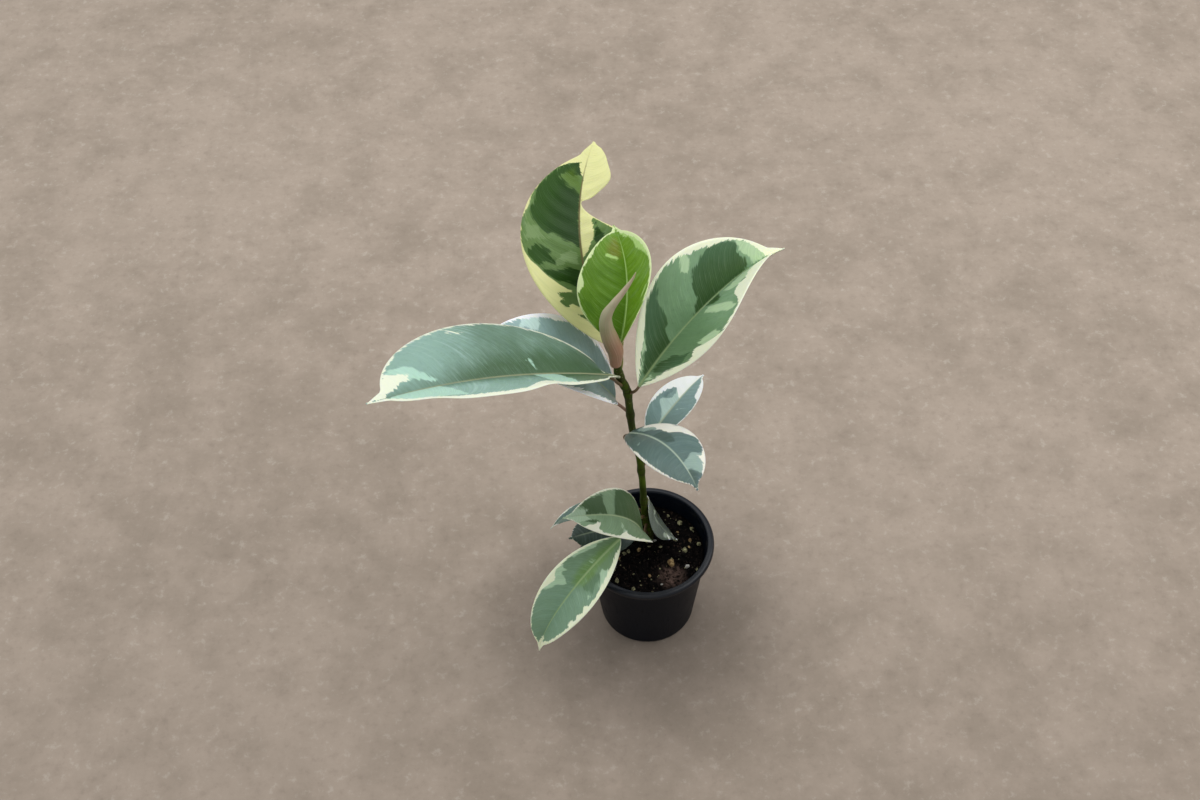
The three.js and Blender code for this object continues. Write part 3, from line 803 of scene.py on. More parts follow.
# The shape of every leaf. Its blade starts at base, and its stalk leaves the stem at the height grows.
# heading and rise point the base, sweep turns the blade sideways on its way, droop bends it down and flick
# bends its end up. roll and twist lean it to one side, fold and unfold raise its halves at the midrib, and
# camber arches them. left and right are half widths, belly moves the widest place and full fills the
# outline. quilt is the height and length of the puckers. A wave is a side, a place, a reach and a height.
# ear is the length of the lobes at the base with their shares of the width, notch a bite out of the right
# half with the round crown beyond it, and joins the place on the midrib where the stalk ends.
PLAIN_LEAF = dict(slot="grown_leaf", sweep=0, flick=0, unfold=0, camber=0, joins=0, ear=None, notch=None,
                  quilt=(0.2, 12), waves=())
LEAVES = (
    dict(name="unfurling_leaf", node="leaf_01_unfurling", slot="young_leaf", base=(-21, 14, 379.3),
         grows=346, length=107, heading=71, rise=42, droop=35, sweep=40, flick=1, roll=-26, twist=28,
         fold=46, unfold=10, left=46, right=33, belly=0.86, full=0.63, quilt=(0.8, 9)),
    dict(name="crooked_leaf", node="leaf_02_crooked", slot="young_leaf", base=(-34, 37.5, 352.4),
         grows=343, length=181, heading=121, rise=52, droop=34, sweep=-55, roll=10, twist=-1, fold=20,
         unfold=6, camber=15, left=53, right=56, belly=1.07, full=0.82,
         notch=dict(at=0.69, above=0.12, below=0.15, depth=0.98),
         crown=dict(at=0.84, reach=0.15, width=19), quilt=(0.6, 13)),
    dict(name="right_leaf", node="leaf_03_right", base=(-7, 5, 333), grows=318, length=180, heading=50,
         rise=26, droop=15, sweep=-20, flick=-13, roll=21, twist=-29, fold=33, unfold=-22, camber=5,
         left=52, right=52, belly=1.1, full=0.76, quilt=(0.3, 14)),
    dict(name="broad_leaf", node="leaf_04_left", base=(-23, -4, 358), grows=330, joins=0.07, length=235,
         heading=196, rise=27, droop=9, sweep=20, flick=1, roll=19, twist=-14, fold=25, unfold=-2,
         camber=12, left=55, right=57, belly=0.96, full=0.47, ear=(0.07, {LEFT: 0.2, RIGHT: 0.08}),
         waves=((LEFT, 0.42, 0.07, 4), (LEFT, 0.83, 0.07, 3)), quilt=(0.3, 15)),
    dict(name="left_back_leaf", node="leaf_05_left_back", base=(-27, 20, 298), grows=289, length=160,
         heading=183, rise=64, droop=50, sweep=5, flick=-2, roll=3, twist=-17, fold=27, unfold=6,
         camber=12, left=40, right=40, belly=0.89, full=0.7),
    dict(name="right_back_leaf", node="leaf_06_right_back", base=(3, 20, 244), grows=206, length=89,
         heading=51, rise=17, droop=32, sweep=4, flick=-4, roll=-2, twist=4, fold=25, unfold=-3, camber=15,
         left=20, right=20, belly=0.85, full=0.67),
    dict(name="right_front_leaf", node="leaf_07_right_front", base=(-17, -6, 283), grows=247, length=102,
         heading=-34, rise=38, droop=57, sweep=-40, flick=10, roll=-17, twist=21, fold=17, unfold=11,
         camber=22, left=28, right=28, belly=0.99, full=0.62),
    dict(name="low_left_leaf", node="leaf_08_low_left", base=(-4.5, -18, 141), grows=119, length=108,
         heading=200, rise=86, droop=96, sweep=-8, flick=12, roll=2, twist=-27, fold=25, unfold=5,
         camber=13, left=29, right=27, belly=0.9, full=0.67),
    dict(name="low_right_leaf", node="leaf_09_low_right", base=(2, 18.5, 150.5), grows=157, length=61,
         heading=-33, rise=-84, droop=-44, sweep=13, flick=16, roll=-37, twist=9, fold=14, unfold=-11,
         camber=47, left=20, right=24, belly=0.83, full=0.7),
    dict(name="low_front_leaf", node="leaf_10_low_front", base=(-26, -28, 156), grows=132, length=139,
         heading=220, rise=-12, droop=47, flick=-18, roll=-26, twist=10, fold=30, unfold=-5, camber=8,
         left=28, right=28, belly=1, full=0.71),
    dict(name="low_back_leaf", node="leaf_11_low_back", base=(-8, 29, 123), grows=101, length=95,
         heading=182, rise=18, droop=62, sweep=2, flick=-17, roll=19, twist=-2, fold=20, unfold=-6,
         camber=21, left=16, right=13, belly=0.84, full=0.67),
    dict(name="shaded_leaf", node="leaf_12_shaded", base=(-7, 2, 127), grows=104, length=82, heading=188,
         rise=22, droop=-2, sweep=36, flick=8, roll=-14, twist=-8, fold=12, unfold=10, camber=25, left=24,
         right=18, belly=0.94, full=0.62),
)

# The colours of every leaf. left and right say how much of each half width the cream edge takes up, from
# base to tip. tone goes from green at 0 to far at 100, deep patches turn from deep to cool outwards, and core
# and outer change the tone at the midrib and the margin. far is partly the leaf's own paler green and partly
# painted sheen, most of all on the broad leaf and the left back leaf. Every leaf takes a share of pale
# streaks of painted sheen, the broad leaf the most. jag and tongues say how far borders are torn. A patch has
# a colour, a side and corners, each by its way along the leaf and out from the midrib. A green patch cuts a
# piece out of the cream.
GROWN = dict(shine=0.34, green="5f7c63", far="86a79a", deep="4c6845", cool="4f6d58", pale="a9c2b2",
             cream="f0f1dc", rib="8d9a76", flush="6f8a4b", under="6f8a68", under_light="9fb394",
             keel="a9a98a", stalk=("54412a", "6b5534"), jag=1, flush_depth=0.7, streaks=0.2, painted_sheen=0.08,
             veins=0.09, core=0, outer=0, patches="")
PAINTS = {
    "unfurling_leaf": dict(
        shine=0.2, green="436800", far="5f8418", deep="375c00", cool="426804", pale="a9c67c",
        cream="cfdda6", rib="a3bf74", flush="666414", under="6f8f3a", under_light="9ab56c", keel="a7b878",
        stalk=("6a6a2c", "86843f"), jag=0.6, flush_depth=0.75, streaks=0.5, veins=0.16,
        left="0 3, 20 3, 35 3, 38 9, 42 13, 47 9, 50 4, 58 3, 62 5, 66 10, 70 8, 80 6, 85 10, 89 20, 93 70, "
             "100 100",
        right="0 5, 50 5, 60 8, 70 12, 80 20, 88 35, 93 80, 100 100",
        tone_left="0 20, 25 20, 40 50, 55 30, 75 60, 100 60",
        tone_right="0 60, 100 100",
        # The first pale patch, on the left half, is a painted highlight.
        patches="""
        pale left 67 25, 68 60, 70.5 60, 71.5 40, 69 20, 66 20;
        pale right 60 95, 62 120, 97 120, 90 45, 80 62, 70 70, 64 82;
        pale right 28 78, 36 86, 42 90, 34 76;
        flush left 70 10, 68 35, 73 62, 82 62, 86 25, 80 8;
        deep left 14 70, 20 95, 31 95, 27 72"""),
    "crooked_leaf": dict(
        shine=0.16, green="546d3a", far="5f7a42", deep="1a370c", cool="1f4200", pale="748a5c",
        cream="e0dea0", rib="6a5c3c", flush="4a6414", under="708a4c", under_light="9db07c", keel="a08a70",
        stalk=("5c4028", "7a583a"), jag=0.4, tongues=1.1, streaks=0.14, veins=0.06,
        left="0 100, 20 100, 25 85, 28 66, 30 50, 33 38, 36 28, 40 20, 43 10, 46 5, 52 1, 60 0, 64 5, 68 2, "
             "75 0, 83 0, 86 20, 89 100, 100 100",
        right="0 100, 15 80, 30 40, 45 12, 60 8, 65 30, 69 100, 100 100",
        tone_left="0 30, 40 30, 60 60, 100 40",
        tone_right="0 20, 100 100",
        patches="""
        cream right 72 0, 72 120, 62 120, 60 58, 55 38, 50 24, 44 12, 42 0;
        cream both 88.5 -20, 88.5 120, 110 120, 110 -20;
        cream left 80 -10, 82 6, 86 30, 90 30, 90 -10;
        green left 28.5 72, 28.5 45, 28 10, 20 10, 20.5 45, 22.5 55, 23 74, 25 80, 25.8 68;
        green left 18 62, 17 35, 12 10, 10 20, 13 35, 15 52;
        pale left 60 90, 63 100, 74 100, 68 95, 64 93;
        pale left 50 55, 52 95, 58 95, 56 70;
        pale left 40 10, 40.5 50, 43 52, 45 10;
        flush left 72 0, 74.5 25, 78.5 58, 82 64, 84 45, 79 8, 76 0;
        deep left 74 75, 78 100, 85 95, 87.5 60, 87 30, 82 8, 80 30, 81 62;
        deep left 79 100, 80 75, 78.5 60, 74.5 25, 72 0, 46 0, 48 12, 50 25, 53 35, 54.5 58, 57 74, 60 82,
            64 90, 70 95;
        deep left 44 96, 47.5 93, 49 75, 45 56, 41 60, 41.5 80;
        deep left 40.5 60, 42 58, 43 30, 42 30;
        deep left 38.5 80, 38.5 50, 37 30, 36.5 0, 27 0, 28 15, 30 30, 33 50, 35.5 68;
        deep right 62 110, 61 80, 55 62, 50 50, 40 45, 20 30, 10 110"""),
    "right_leaf": dict(
        green="5f7d57", far="789774", deep="284616", cool="3b5c3c", pale="b4caa4", cream="f2f5d8",
        rib="8fa072", jag=0.75, streaks=0.22,
        left="0 50, 10 34, 16 30, 20 28, 25 17, 30 9, 40 5, 50 5, 58 9, 60 17, 62 11, 66 16, 70 14, 75 10, "
             "80 7, 84 10, 87 40, 89 90, 100 100",
        right="0 60, 5 40, 10 38, 15 28, 20 17, 24 13, 27 28, 30 27, 33 19, 38 10, 42 5, 56 6, 59 15, "
              "61 42, 66 50, 70 40, 75 60, 80 75, 87 100, 100 100",
        tone_left="0 20, 40 35, 60 80, 100 80",
        tone_right="0 0, 30 10, 50 60, 100 80",
        patches="""
        cream right 7 45, 8 68, 10.5 66, 9 45;
        pale left 50 70, 55 95, 61 97, 58 78, 54 60;
        pale left 79 100, 84 95, 88 75, 90 40, 88 5, 81 8, 79.5 50;
        pale left 5 45, 10 62, 16 72, 20 80, 17 60, 10 48;
        pale right 31 60, 33 86, 41 97, 41 78, 36 60;
        pale right 45 18, 49 50, 53 85, 57 95, 55 50, 50 15;
        pale right 60 10, 64 15, 75 8, 80 20, 74 60, 66 50;
        pale right 3 20, 5 65, 9 60, 8 20;
        deep left 3 0, 6 20, 10 42, 15 52, 20 70, 25 84, 30 90, 40 96, 45 98, 41 90, 37.5 78, 34 68,
            33.5 55, 31.5 35, 28 17, 26 0;
        deep left 41.5 0, 45.5 13, 49 23, 51 36, 53 48, 57.5 62, 60 68, 62.5 80, 66 83, 69 85, 72 87,
            76 90, 79 90, 80 80, 79 60, 78 45, 79 30, 79 15, 77 0;
        deep right 50 5, 53 20, 57 25, 59 12, 57 2;
        deep right 10 5, 12 60, 20 75, 26 70, 20 30"""),
    "broad_leaf": dict(
        green="3c5638", far="7f9c90", deep="35502e", cool="47624a", pale="a9cab8", cream="e6e9d2",
        rib="8f8f70", jag=0.8, streaks=0.2, core=0.45, outer=0.25, painted_sheen=0.4, veins=0.08,
        left="0 50, 6 20, 10 12, 25 12, 35 20, 40 30, 44 24, 50 12, 60 13, 70 15, 80 16, 88 20, 93 70, "
             "100 100",
        right="0 60, 4 16, 10 9, 20 6, 26 3, 80 3, 86 6, 90 12, 93 100, 100 100",
        tone_left="0 0, 25 10, 40 70, 100 100",
        tone_right="0 5, 20 15, 30 15, 50 28, 72 90, 100 110",
        patches="""
        cream right 92 120, 88.5 90, 87.5 72, 86 62, 83 50, 80 38, 81.5 30, 84 36, 86 30, 87 20, 90 15,
            93 0, 105 0, 105 120;
        cream right 60 93, 52 85, 52 82, 60 90;
        pale right 90 100, 87 85, 85 78, 79 54, 74.5 32, 71.5 16, 72 10, 74.5 12, 78.5 24, 82 30, 86 60;
        pale right 35 29, 31.5 10, 32.5 8, 36 27;
        pale left 27 100, 27 5, 36 0, 37 50, 38 100;
        pale left 72 0, 70 80, 86 100, 92 30, 88 0"""),
    "left_back_leaf": dict(
        green="566f68", far="8ea9a6", deep="4a615a", cool="58727a", pale="c6ddd8", cream="ffffff",
        rib="8f9a7c", stalk=("7a5a4a", "92705c"),
        left="0 5, 15 6, 22 16, 40 16, 50 8, 100 10",
        right="0 10, 5 16, 10 13, 60 13, 75 10, 85 6, 100 20",
        tone_left="0 30, 100 90",
        tone_right="0 10, 40 75, 70 95, 100 100",
        patches="""
        pale right 62 50, 64 120, 73 120, 73 60"""),
    "right_back_leaf": dict(
        green="546960", far="6c8581", deep="4a5f57", cool="647e80", pale="aec4ba", cream="f2f4ee",
        rib="9aa58c", jag=0.4,
        left="0 5, 28 5, 34 12, 50 20, 60 40, 70 100, 100 100",
        right="0 3, 55 4, 62 30, 80 32, 93 40, 100 100",
        tone_left="0 20, 30 100",
        tone_right="0 10, 50 100",
        patches="""
        cream left 52 -10, 52 12, 56 30, 61 55, 63 78, 50 85, 40 95, 36 120, 110 120, 110 -10;
        pale left 16 0, 26 18, 32 42, 38 64, 44 56, 50 30, 60 40, 62 0;
        pale right 39 20, 41 70, 43 80, 42 30;
        deep left 45 50, 44 72, 50 80, 56 72, 58 50, 52 55"""),
    "right_front_leaf": dict(
        green="45574f", far="5b726f", deep="3d5148", cool="485e5f", pale="92a79c", cream="efecde",
        rib="a2b09c", jag=0.55,
        left="0 5, 50 5, 53 4, 67 5, 72 14, 85 14, 88 6, 97 10, 100 50",
        right="0 2, 33 2, 37 8, 95 8, 100 40",
        tone_left="0 10, 50 70, 100 30",
        tone_right="0 10, 60 50, 100 30",
        patches="""
        cream left 10 66, 16 50, 22 55, 30 50, 38 55, 45 70, 52 85, 57 97, 56 120, 8 120;
        cream left 70 120, 72 72, 80 84, 86 120;
        pale left 6 50, 10 22, 18 20, 24 40, 30 60, 20 90, 10 90;
        pale left 72 -10, 69 30, 68 70, 70 120, 87 120, 84 60, 80 30, 79 -10;
        pale right 28 62, 29 75, 32 72, 31 60;
        deep left 81 0, 82 30, 86 60, 88 95, 95 80, 95 0;
        deep left 30 5, 32 40, 42 50, 50 30, 42 5"""),
    "low_left_leaf": dict(
        shine=0.22, green="4e6446", far="7a9272", deep="324926", cool="38502f", pale="98ab92",
        cream="dcdcc8", rib="93a07c", jag=0.55,
        left="0 5, 30 10, 50 12, 68 8, 80 12, 95 15, 100 60",
        right="0 3, 45 4, 55 7, 95 9, 100 50",
        tone_left="0 10, 60 50, 100 90",
        tone_right="0 30, 30 10, 55 60, 100 90",
        patches="""
        cream left 88 120, 85 90, 80 76, 76 58, 71.5 30, 69 36, 71 66, 69 85, 64 120;
        cream left 60 120, 54 78, 49 66, 42 88, 38 120;
        pale left 57 110, 53 75, 49 32, 47.5 50, 48 80, 42 110;
        pale both 80 -10, 78 30, 83 50, 90 110, 110 110, 110 -10;
        deep right 80 0, 60 0, 62 50, 64.5 92, 79 97, 84 80, 81 50;
        deep right 2 0, 2 100, 30 100, 52 98, 55 60, 54.5 0;
        deep left 70 30, 77 50, 84 60, 84 35, 76 25"""),
    "low_right_leaf": dict(
        green="40473f", far="596259", deep="22240f", cool="2c3018", pale="9da794", cream="dcdfd2",
        rib="7f8876",
        left="0 5, 60 6, 80 10, 100 20",
        right="0 -10, 80 -10, 100 10",
        tone_left="0 60, 50 30, 100 0",
        tone_right="0 80, 50 60, 100 40",
        patches="""
        cream right 66 80, 69 92, 72 82;
        cream right 78 66, 81 82, 84 70;
        cream right 88 40, 90 60, 92 40;
        pale both 30 20, 36 50, 42 40, 38 10;
        pale right 60 50, 66 90, 80 85, 86 60, 78 45;
        deep left 30 30, 40 60, 55 70, 50 30"""),
    "low_front_leaf": dict(
        green="627e54", far="74917a", deep="567450", cool="58775a", pale="b0caaa", cream="f2f8d6",
        rib="a2b684", flush="688a3e", jag=0.5, tongues=0.7, flush_depth=0.75,
        left="0 16, 5 26, 10 34, 20 25, 30 18, 40 13, 70 12, 78 15, 85 20, 93 100, 100 100",
        right="0 10, 8 10, 14 15, 20 12, 26 9, 34 8, 60 8, 65 5, 85 7, 93 40, 97 100, 100 100",
        tone_left="0 10, 40 60, 100 90",
        tone_right="0 10, 50 70, 100 70",
        patches="""
        cream right 36 97, 40 90, 42 92, 44 84, 47 74, 50 80, 53 90, 58 94, 62 120, 36 120;
        cream left 44 97, 47 84, 48 74, 50 80, 52 88, 55 72, 57 82, 60 74, 64 76, 67 90, 72 120, 44 120;
        cream both 84 -20, 87 15, 90 40, 93 120, 110 120, 110 -20;
        pale right 36 90, 37.5 62, 41 68, 43 50, 44 33, 47 40, 50 60, 55 85, 60 120, 36 120;
        pale right 10 65, 20 68, 30 85, 30 120, 10 120;
        pale right 21 12, 24.5 34, 26 30, 23.5 12;
        pale left 20 65, 23.5 50, 28 65, 33 80, 36 120, 22 120;
        pale left 40 66, 41 76, 43 76, 42 66;
        flush both 0 -10, 5 40, 20 28, 30 30, 40 20, 45 -10;
        deep left 30 10, 25 60, 40 70, 40 30"""),
    "low_back_leaf": dict(
        green="44574c", far="566c63", deep="34463a", cool="3a4d42", pale="9fb0a4", cream="dfe2d6",
        rib="869078", jag=0.4,
        left="0 -10, 80 -5, 90 30, 100 80",
        right="0 -10, 60 -5, 80 40, 88 30, 94 90, 100 100",
        tone_left="0 0, 100 100",
        tone_right="0 0, 100 100"),
    "shaded_leaf": dict(
        # Its greens are darkened with painted shade, for the leaf lies in deep shade under the low left leaf.
        green="26332c", far="33423b", deep="1f2c24", cool="233229", pale="8b9a8f", cream="cfd3c6",
        rib="78836e",
        left="0 -10, 100 -10",
        right="0 -10, 100 -10",
        tone_left="0 0, 100 100",
        tone_right="0 0, 100 100"),
}


# ---------------------------------------------------------------- settings and operators


class StageSettings(bpy.types.PropertyGroup):
    floor_colour: FloatVectorProperty(name="Floor Colour", description="Pale floor under the pot",
                                      subtype="COLOR", default=tint("a9998a")[:3], min=0, max=1)
    light_power: FloatProperty(name="Light Power", description="Power of the large soft light", unit="POWER",
                               default=52, min=0)
    fill_power: FloatProperty(name="Fill Power", description="Power of the smaller light on the right",
                              unit="POWER", default=26, min=0)


class PotSettings(bpy.types.PropertyGroup):
    colour: FloatVectorProperty(name="Plastic Colour", description="Colour of the moulded plastic",
                                subtype="COLOR", default=tint("080d16")[:3], min=0, max=1)
    turns: IntProperty(name="Turns", description="Steps round the pot", default=120, min=24, max=240)


class MixSettings(bpy.types.PropertyGroup):
    colour: FloatVectorProperty(name="Mix Colour", description="Colour of the dry crumbs", subtype="COLOR",
                                default=tint("120c0a")[:3], min=0, max=1)
    crumbs: IntProperty(name="Crumbs", description="Loose crumbs on the surface", default=1300, min=0,
                        max=2000)


class LeafSettings(bpy.types.PropertyGroup):
    gloss: FloatProperty(name="Roughness", description="Roughness of the upper side", default=0.36, min=0,
                         max=1)
    relief: FloatProperty(name="Vein Relief", description="Strength of the veins", default=0.45, min=0, max=1)
    lift: FloatProperty(name="Brightness", description="Brightness of the greens", default=1.2, min=0, max=2)


def solid(colour):
    return tuple(colour) + (1,)


class MakeStage(bpy.types.Operator):
    """Sets the floor, the soft light and the camera"""

    bl_idname = "rubber_plant.make_stage"
    bl_label = "Stage"

    def execute(self, context):
        settings = context.scene.rubber_plant_stage
        mesh = bmesh.new()
        bmesh.ops.create_grid(mesh, x_segments=2, y_segments=2, size=FLOOR["reach"])
        floor = linked(mesh, "pale_floor")
        floor.data.materials.append(floor_finish(solid(settings.floor_colour)))
        self.hang_lamp(context, "soft_light", settings.light_power)
        self.hang_lamp(context, "fill_light", settings.fill_power)
        self.light_room(context)
        self.set_camera(context)
        return {"FINISHED"}

    def hang_lamp(self, context, name, power):
        lamp = LAMPS[name]
        light = bpy.data.lights.new(name, "AREA")
        light.shape, light.energy = "RECTANGLE", power
        light.size, light.size_y = lamp["size"]
        hung = bpy.data.objects.new(name, light)
        aim = (Vector(AIM) - Vector(lamp["place"])).to_track_quat("-Z", "Y").to_matrix().to_4x4()
        hung.matrix_world = Matrix.Translation(lamp["place"]) @ aim
        context.scene.collection.objects.link(hung)

    def light_room(self, context):
        world = bpy.data.worlds.new("soft_room")
        world.use_nodes = True
        sky = world.node_tree.nodes["Background"]
        sky.inputs["Color"].default_value = SKY["colour"]
        sky.inputs["Strength"].default_value = SKY["strength"]
        context.scene.world = world
        context.scene.view_settings.view_transform = "Standard"

    def set_camera(self, context):
        camera = bpy.data.objects.new("photo_camera", bpy.data.cameras.new("photo_camera"))
        camera.data.lens, camera.data.sensor_width = CAMERA["lens"], CAMERA["sensor"]
        camera.data.clip_end = CAMERA["reach"]
        pitch, roll = math.radians(CAMERA["pitch"]), math.radians(CAMERA["roll"])
        aim = Matrix.Rotation(math.pi / 2 - pitch, 4, "X") @ Matrix.Rotation(-roll, 4, "Z")
        camera.matrix_world = Matrix.Translation(CAMERA["place"]) @ aim
        context.scene.collection.objects.link(camera)
        context.scene.camera = camera


class MakePot(bpy.types.Operator):
    """Spins the nursery pot with its rolled lip and drain holes"""

    bl_idname = "rubber_plant.make_pot"
    bl_label = "Nursery Pot"

    def execute(self, context):
        settings = context.scene.rubber_plant_pot
        mesh = spun(self.profile(), settings.turns, POT["weld"], POT["round"])
        bmesh.ops.recalc_face_normals(mesh, faces=mesh.faces)
        pot = finished(mesh, "nursery_pot", [matte_plastic(solid(settings.colour))], "pot")
        self.bore(context, pot)
        return {"FINISHED"}

    def profile(self):
        """Radius and height from the middle of the underside, up over the lip and down to the inner floor."""
        foot, shoulder, rim, wall, bead = (POT[name] for name in ("foot", "shoulder", "rim", "wall", "bead"))
        top, inside = POT["height"], rim - POT["lip_width"]
        lip = top - POT["lip_depth"]
        return ((0, 0), (foot - POT["foot_edge"], 0), (foot, POT["foot_edge"]), (shoulder, lip),
                (rim - bead, lip), (rim, lip + bead), (rim, top - 2 * bead), (rim - bead, top - POT["crown"]),
                (rim - 2.5 * bead, top), (inside + bead, top), (inside, top - bead),
                (shoulder - wall, lip - wall), (foot - wall, POT["floor"]), (0, POT["floor"]))

    def bore(self, context, pot):
        """Cuts the drain holes with a ring of drills."""
        drills = bmesh.new()
        for hole in range(POT["holes"]):
            turn = math.tau * (hole + 0.5) / POT["holes"]
            spot = (POT["hole_circle"] * math.cos(turn), POT["hole_circle"] * math.sin(turn), 0)
            bmesh.ops.create_cone(drills, cap_ends=True, segments=32, radius1=POT["hole"],
                                  radius2=POT["hole"], depth=8 * POT["floor"],
                                  matrix=Matrix.Translation(spot))
        bmesh.ops.scale(drills, vec=(MM, MM, MM), verts=drills.verts)
        drill = linked(drills, "drain_drill")
        cut = pot.modifiers.new("drain_holes", "BOOLEAN")
        cut.operation, cut.object, cut.solver = "DIFFERENCE", drill, "EXACT"
        bored = bpy.data.meshes.new_from_object(pot.evaluated_get(context.evaluated_depsgraph_get()))
        pot.modifiers.clear()
        pot.data = bored
        bored.name = "nursery_pot"
        bpy.data.objects.remove(drill)


class MakeMix(bpy.types.Operator):
    """Fills the pot with potting mix, crumbs, perlite and bark chips"""

    bl_idname = "rubber_plant.make_mix"
    bl_label = "Potting Mix"

    def execute(self, context):
        settings = context.scene.rubber_plant_mix
        rim = inner_radius(SOIL["level"]) - SOIL["clear"]
        self.fill(rim, settings)
        rng = random.Random(SEED)
        crumbs = (self.scatter(rng, rim, SOIL["crumb"]) for _ in range(settings.crumbs))
        finish = bits_finish("crumb_finish", "030202", "2a1e17", 0.92, 90)
        self.strew(rng, "mix_crumbs", crumbs, finish, 0.5, 1, smooth=False)
        grit = tuple(self.scatter(rng, rim, SOIL["grit_size"]) for _ in range(SOIL["grit"]))
        for name, bits, low, high in (("perlite", PERLITE + grit, "454230", "98946f"),
                                      ("bark_chips", BARK, "5b4328", "97815a"),
                                      ("pale_stones", STONES, "8b8780", "bdbab4")):
            worn = ((x, y, size * rng.uniform(*SOIL["worn"])) for x, y, size in bits)
            self.strew(rng, name, worn, bits_finish(name + "_finish", low, high, 0.75, 420), 0.4, 3)
        return {"FINISHED"}

    def fill(self, rim, settings):
        """The body of the mix, lumpy on top and clear of the pot's wall."""
        rings = SOIL["rings"]
        mesh = spun([(rim * i / rings, 0) for i in range(rings + 1)], SOIL["turns"], SOIL["weld"])
        outer = [e for e in mesh.edges if e.is_boundary]
        for vert in mesh.verts:
            x, y = vert.co.x, vert.co.y
            lumps = noise.fractal(Vector((x * 0.3, y * 0.3, 3.1)), 0.9, 2.1, 4, noise_basis="PERLIN_ORIGINAL")
            vert.co.z = soil_height(x, y) + SOIL["lumps"] * lumps * (1 - (math.hypot(x, y) / rim) ** 10)
        for height in (SOIL["bend"], POT["floor"] + SOIL["clear"]):
            grown = bmesh.ops.extrude_edge_only(mesh, edges=outer)["geom"]
            outer = sort_out(grown, bmesh.types.BMEdge)
            for vert in sort_out(grown, bmesh.types.BMVert):
                vert.co.xy = vert.co.xy.normalized() * (inner_radius(height) - SOIL["clear"])
                vert.co.z = height
        bmesh.ops.contextual_create(mesh, geom=outer)
        bmesh.ops.recalc_face_normals(mesh, faces=mesh.faces)
        finished(mesh, "potting_mix", [damp_mix(solid(settings.colour))], "soil")

    def scatter(self, rng, rim, sizes):
        """A random bit on the mix, a little inside its rim."""
        reach, turn = rim * SOIL["rim"] * math.sqrt(rng.random()), rng.random() * math.tau
        return reach * math.cos(turn), reach * math.sin(turn), rng.uniform(*sizes)

    def strew(self, rng, name, bits, finish, rough, fineness, smooth=True):
        """One piece of many bits, each lumpy and turned its own way."""
        mesh = bmesh.new()
        for x, y, size in bits:
            self.lump(mesh, rng, x, y, size, rough, fineness)
        finished(mesh, name, [finish], "soil", smooth)

    def lump(self, mesh, rng, x, y, size, rough, fineness):
        """A rough little body that lies in the surface of the mix."""
        spot = Vector((x, y, soil_height(x, y) + size * SOIL["sink"]))
        turn = Matrix.Rotation(rng.random() * math.tau, 4, "Z")
        tilt = Matrix.Rotation(rng.uniform(-0.5, 0.5), 4, "X")
        shape = Matrix.Diagonal((size, size * rng.uniform(0.6, 0.95), size * rng.uniform(0.45, 0.8), 1))
        made = bmesh.ops.create_icosphere(mesh, subdivisions=fineness, radius=1,
                                          matrix=Matrix.Translation(spot) @ turn @ tilt @ shape)
        seed = Vector((rng.uniform(-9, 9), rng.uniform(-9, 9), rng.uniform(-9, 9)))
        for vert in made["verts"]:
            away = vert.co - spot
            vert.co = spot + away * (1 + rough * noise.noise(away / size * 1.4 + seed))


class MakeStem(bpy.types.Operator):
    """Draws the stem through the mix, with a ring and a scar at every leaf"""

    bl_idname = "rubber_plant.make_stem"
    bl_label = "Stem"

    def execute(self, context):
        line = smooth_line(STEM_LINE, STEM["steps"])
        radii, scars = self.swellings(line)
        mesh = bmesh.new()
        scar = mesh.verts.layers.float.new("scar")
        for mark, ring in zip(scars, add_tube(mesh, line, radii, STEM["sides"])):
            for vert in ring:
                vert[scar] = mark
                middle = stem_at(line, vert.co.z)
                away = Vector((vert.co.x - middle.x, vert.co.y - middle.y, 0))
                vert.co += away * (0.05 * noise.noise(vert.co * 0.12) + 0.02 * noise.noise(vert.co * 0.9))
        finished(mesh, "olive_stem", [stem_skin()], "stem")
        return {"FINISHED"}

    def swellings(self, line):
        """Radii along the stem and how brown it is there: swollen, ringed and scarred where a leaf grows."""
        ground = soil_height(line[0].x, line[0].y)
        radii, scars = [], []
        for i, spot in enumerate(line):
            above = [spot.z - row["grows"] for row in LEAVES]
            near = max(bell(z, STEM["reach"]) for z in above)
            ring = max(bell(z - STEM["ring_above"], STEM["ring_reach"]) for z in above)
            scar = max(bell(z + STEM["scar_below"], STEM["scar_reach"]) for z in above)
            radius = mix(STEM["foot"], STEM["top"], clamp((spot.z - ground) / (line[-1].z - ground)))
            root = mix(STEM["root_end"], 1, clamp(i / (STEM["steps"] * STEM["root_taper"])))
            radii.append((radius + STEM["swell"] * near + STEM["ring"] * ring) * root)
            scars.append(max(ring, scar * STEM["scar"]))
        return radii, scars


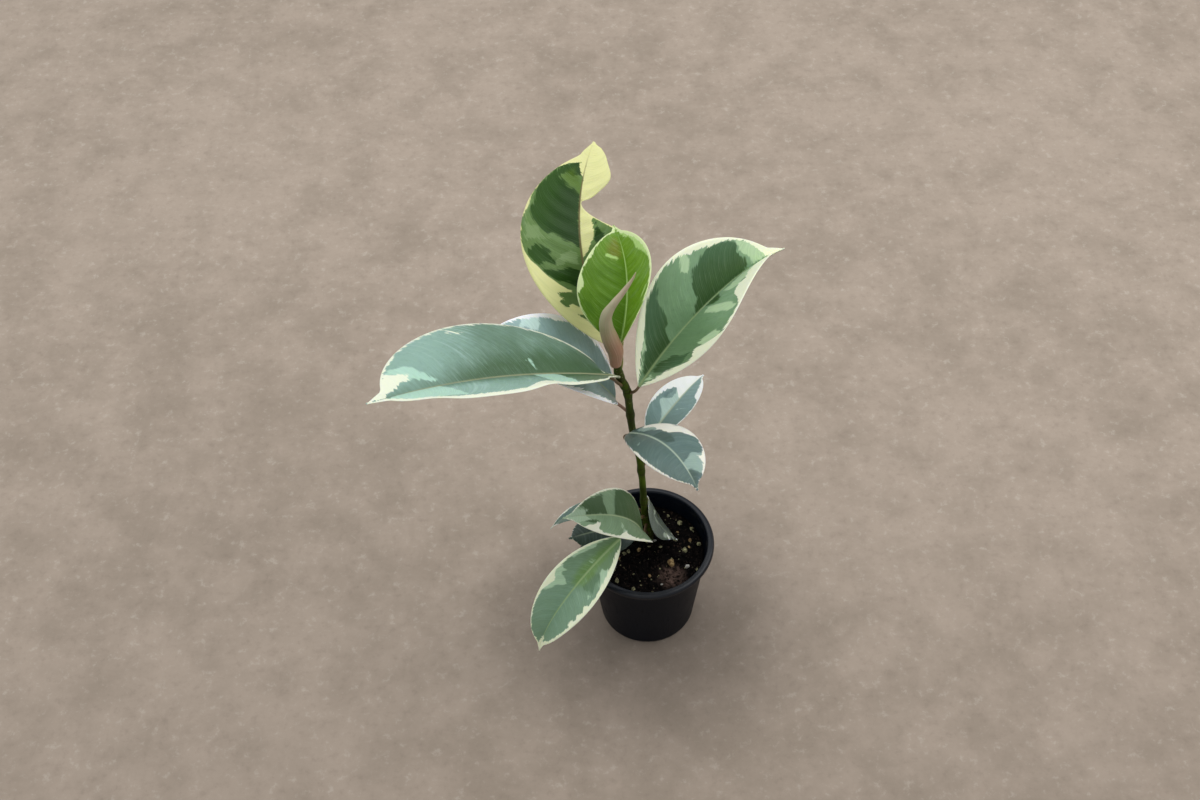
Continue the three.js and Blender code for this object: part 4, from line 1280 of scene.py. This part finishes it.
class MakeSheath(bpy.types.Operator):
    """Draws the pink sheath on the end of the stem, with one edge lapped over the other"""

    bl_idname = "rubber_plant.make_sheath"
    bl_label = "Bud Sheath"

    def execute(self, context):
        steps = SHEATH["steps"]
        line = smooth_line(SHEATH_LINE, steps)
        mesh = bmesh.new()
        layers = mesh.verts.layers.float
        for kind in ("up", "turn", "lip"):
            layers.new(kind)
        for i, ring in enumerate(add_tube(mesh, line, self.radii(steps), SHEATH["sides"])):
            up = i / steps
            for vert in ring:
                away = vert.co - line[i]
                turn = math.atan2(away.y, away.x) / math.tau + 0.5
                lap = (turn + SHEATH["lap_at"] + SHEATH["lap_turn"] * up) % 1
                vert.co = line[i] + away * (1 + self.lap_lift(lap) * ease(up, 0, SHEATH["foot"]))
                vert[layers["up"]], vert[layers["turn"]] = up, turn
                vert[layers["lip"]] = bell(lap - SHEATH["lip_at"], SHEATH["lip"])
        finished(mesh, "pink_sheath", [sheath_skin()], "bud_sheath")
        return {"FINISHED"}

    def radii(self, steps):
        """Radii along the sheath, eased a little between the ones in the table."""
        spans = len(SHEATH_RADII) - 1
        radii = []
        for i in range(steps + 1):
            place = i / steps * spans
            low = min(int(place), spans - 1)
            share = (ease(place - low, 0, 1) + place - low) / 2
            radii.append(mix(SHEATH_RADII[low], SHEATH_RADII[low + 1], share))
        return radii

    def lap_lift(self, lap):
        """How far the wall stands out, from the outer edge round to the edge that is tucked under it."""
        near = ease(lap, 0, SHEATH["lap_edge"]) if lap < 0.5 else 1
        return mix(SHEATH["out"], SHEATH["under"], lap) * near + SHEATH["under"] * (1 - near)


class MakeLeaves(bpy.types.Operator):
    """Makes every leaf with its stalk"""

    bl_idname = "rubber_plant.make_leaves"
    bl_label = "Leaves"

    def execute(self, context):
        line = smooth_line(STEM_LINE, STEM["steps"])
        noise.seed_set(SEED)  # vector noise would start from the clock without it
        for row in LEAVES:
            make_leaf(row, line, context.scene.rubber_plant_leaves)
        return {"FINISHED"}


class RubberPlantPanel(bpy.types.Panel):
    bl_idname = "VIEW3D_PT_rubber_plant"
    bl_label = "Rubber Plant"
    bl_space_type = "VIEW_3D"
    bl_region_type = "UI"
    bl_category = "Rubber Plant"

    def draw(self, context):
        for group, settings in GROUPS.items():
            for name in settings.__annotations__:
                self.layout.prop(getattr(context.scene, group), name)
        for operator in MAKERS:
            self.layout.operator(operator.bl_idname)


GROUPS = {"rubber_plant_stage": StageSettings, "rubber_plant_pot": PotSettings,
          "rubber_plant_mix": MixSettings, "rubber_plant_leaves": LeafSettings}
MAKERS = (MakeStage, MakePot, MakeMix, MakeStem, MakeSheath, MakeLeaves)


def register():
    for name, group in GROUPS.items():
        bpy.utils.register_class(group)
        setattr(bpy.types.Scene, name, PointerProperty(type=group))
    for cls in MAKERS + (RubberPlantPanel,):
        bpy.utils.register_class(cls)


def unregister():
    for cls in (RubberPlantPanel,) + MAKERS[::-1]:
        bpy.utils.unregister_class(cls)
    for name, group in GROUPS.items():
        delattr(bpy.types.Scene, name)
        bpy.utils.unregister_class(group)


def main():
    register()
    bpy.ops.rubber_plant.make_stage()
    bpy.ops.rubber_plant.make_pot()
    bpy.ops.rubber_plant.make_mix()
    bpy.ops.rubber_plant.make_stem()
    bpy.ops.rubber_plant.make_sheath()
    bpy.ops.rubber_plant.make_leaves()


if __name__ == "__main__":
    main()
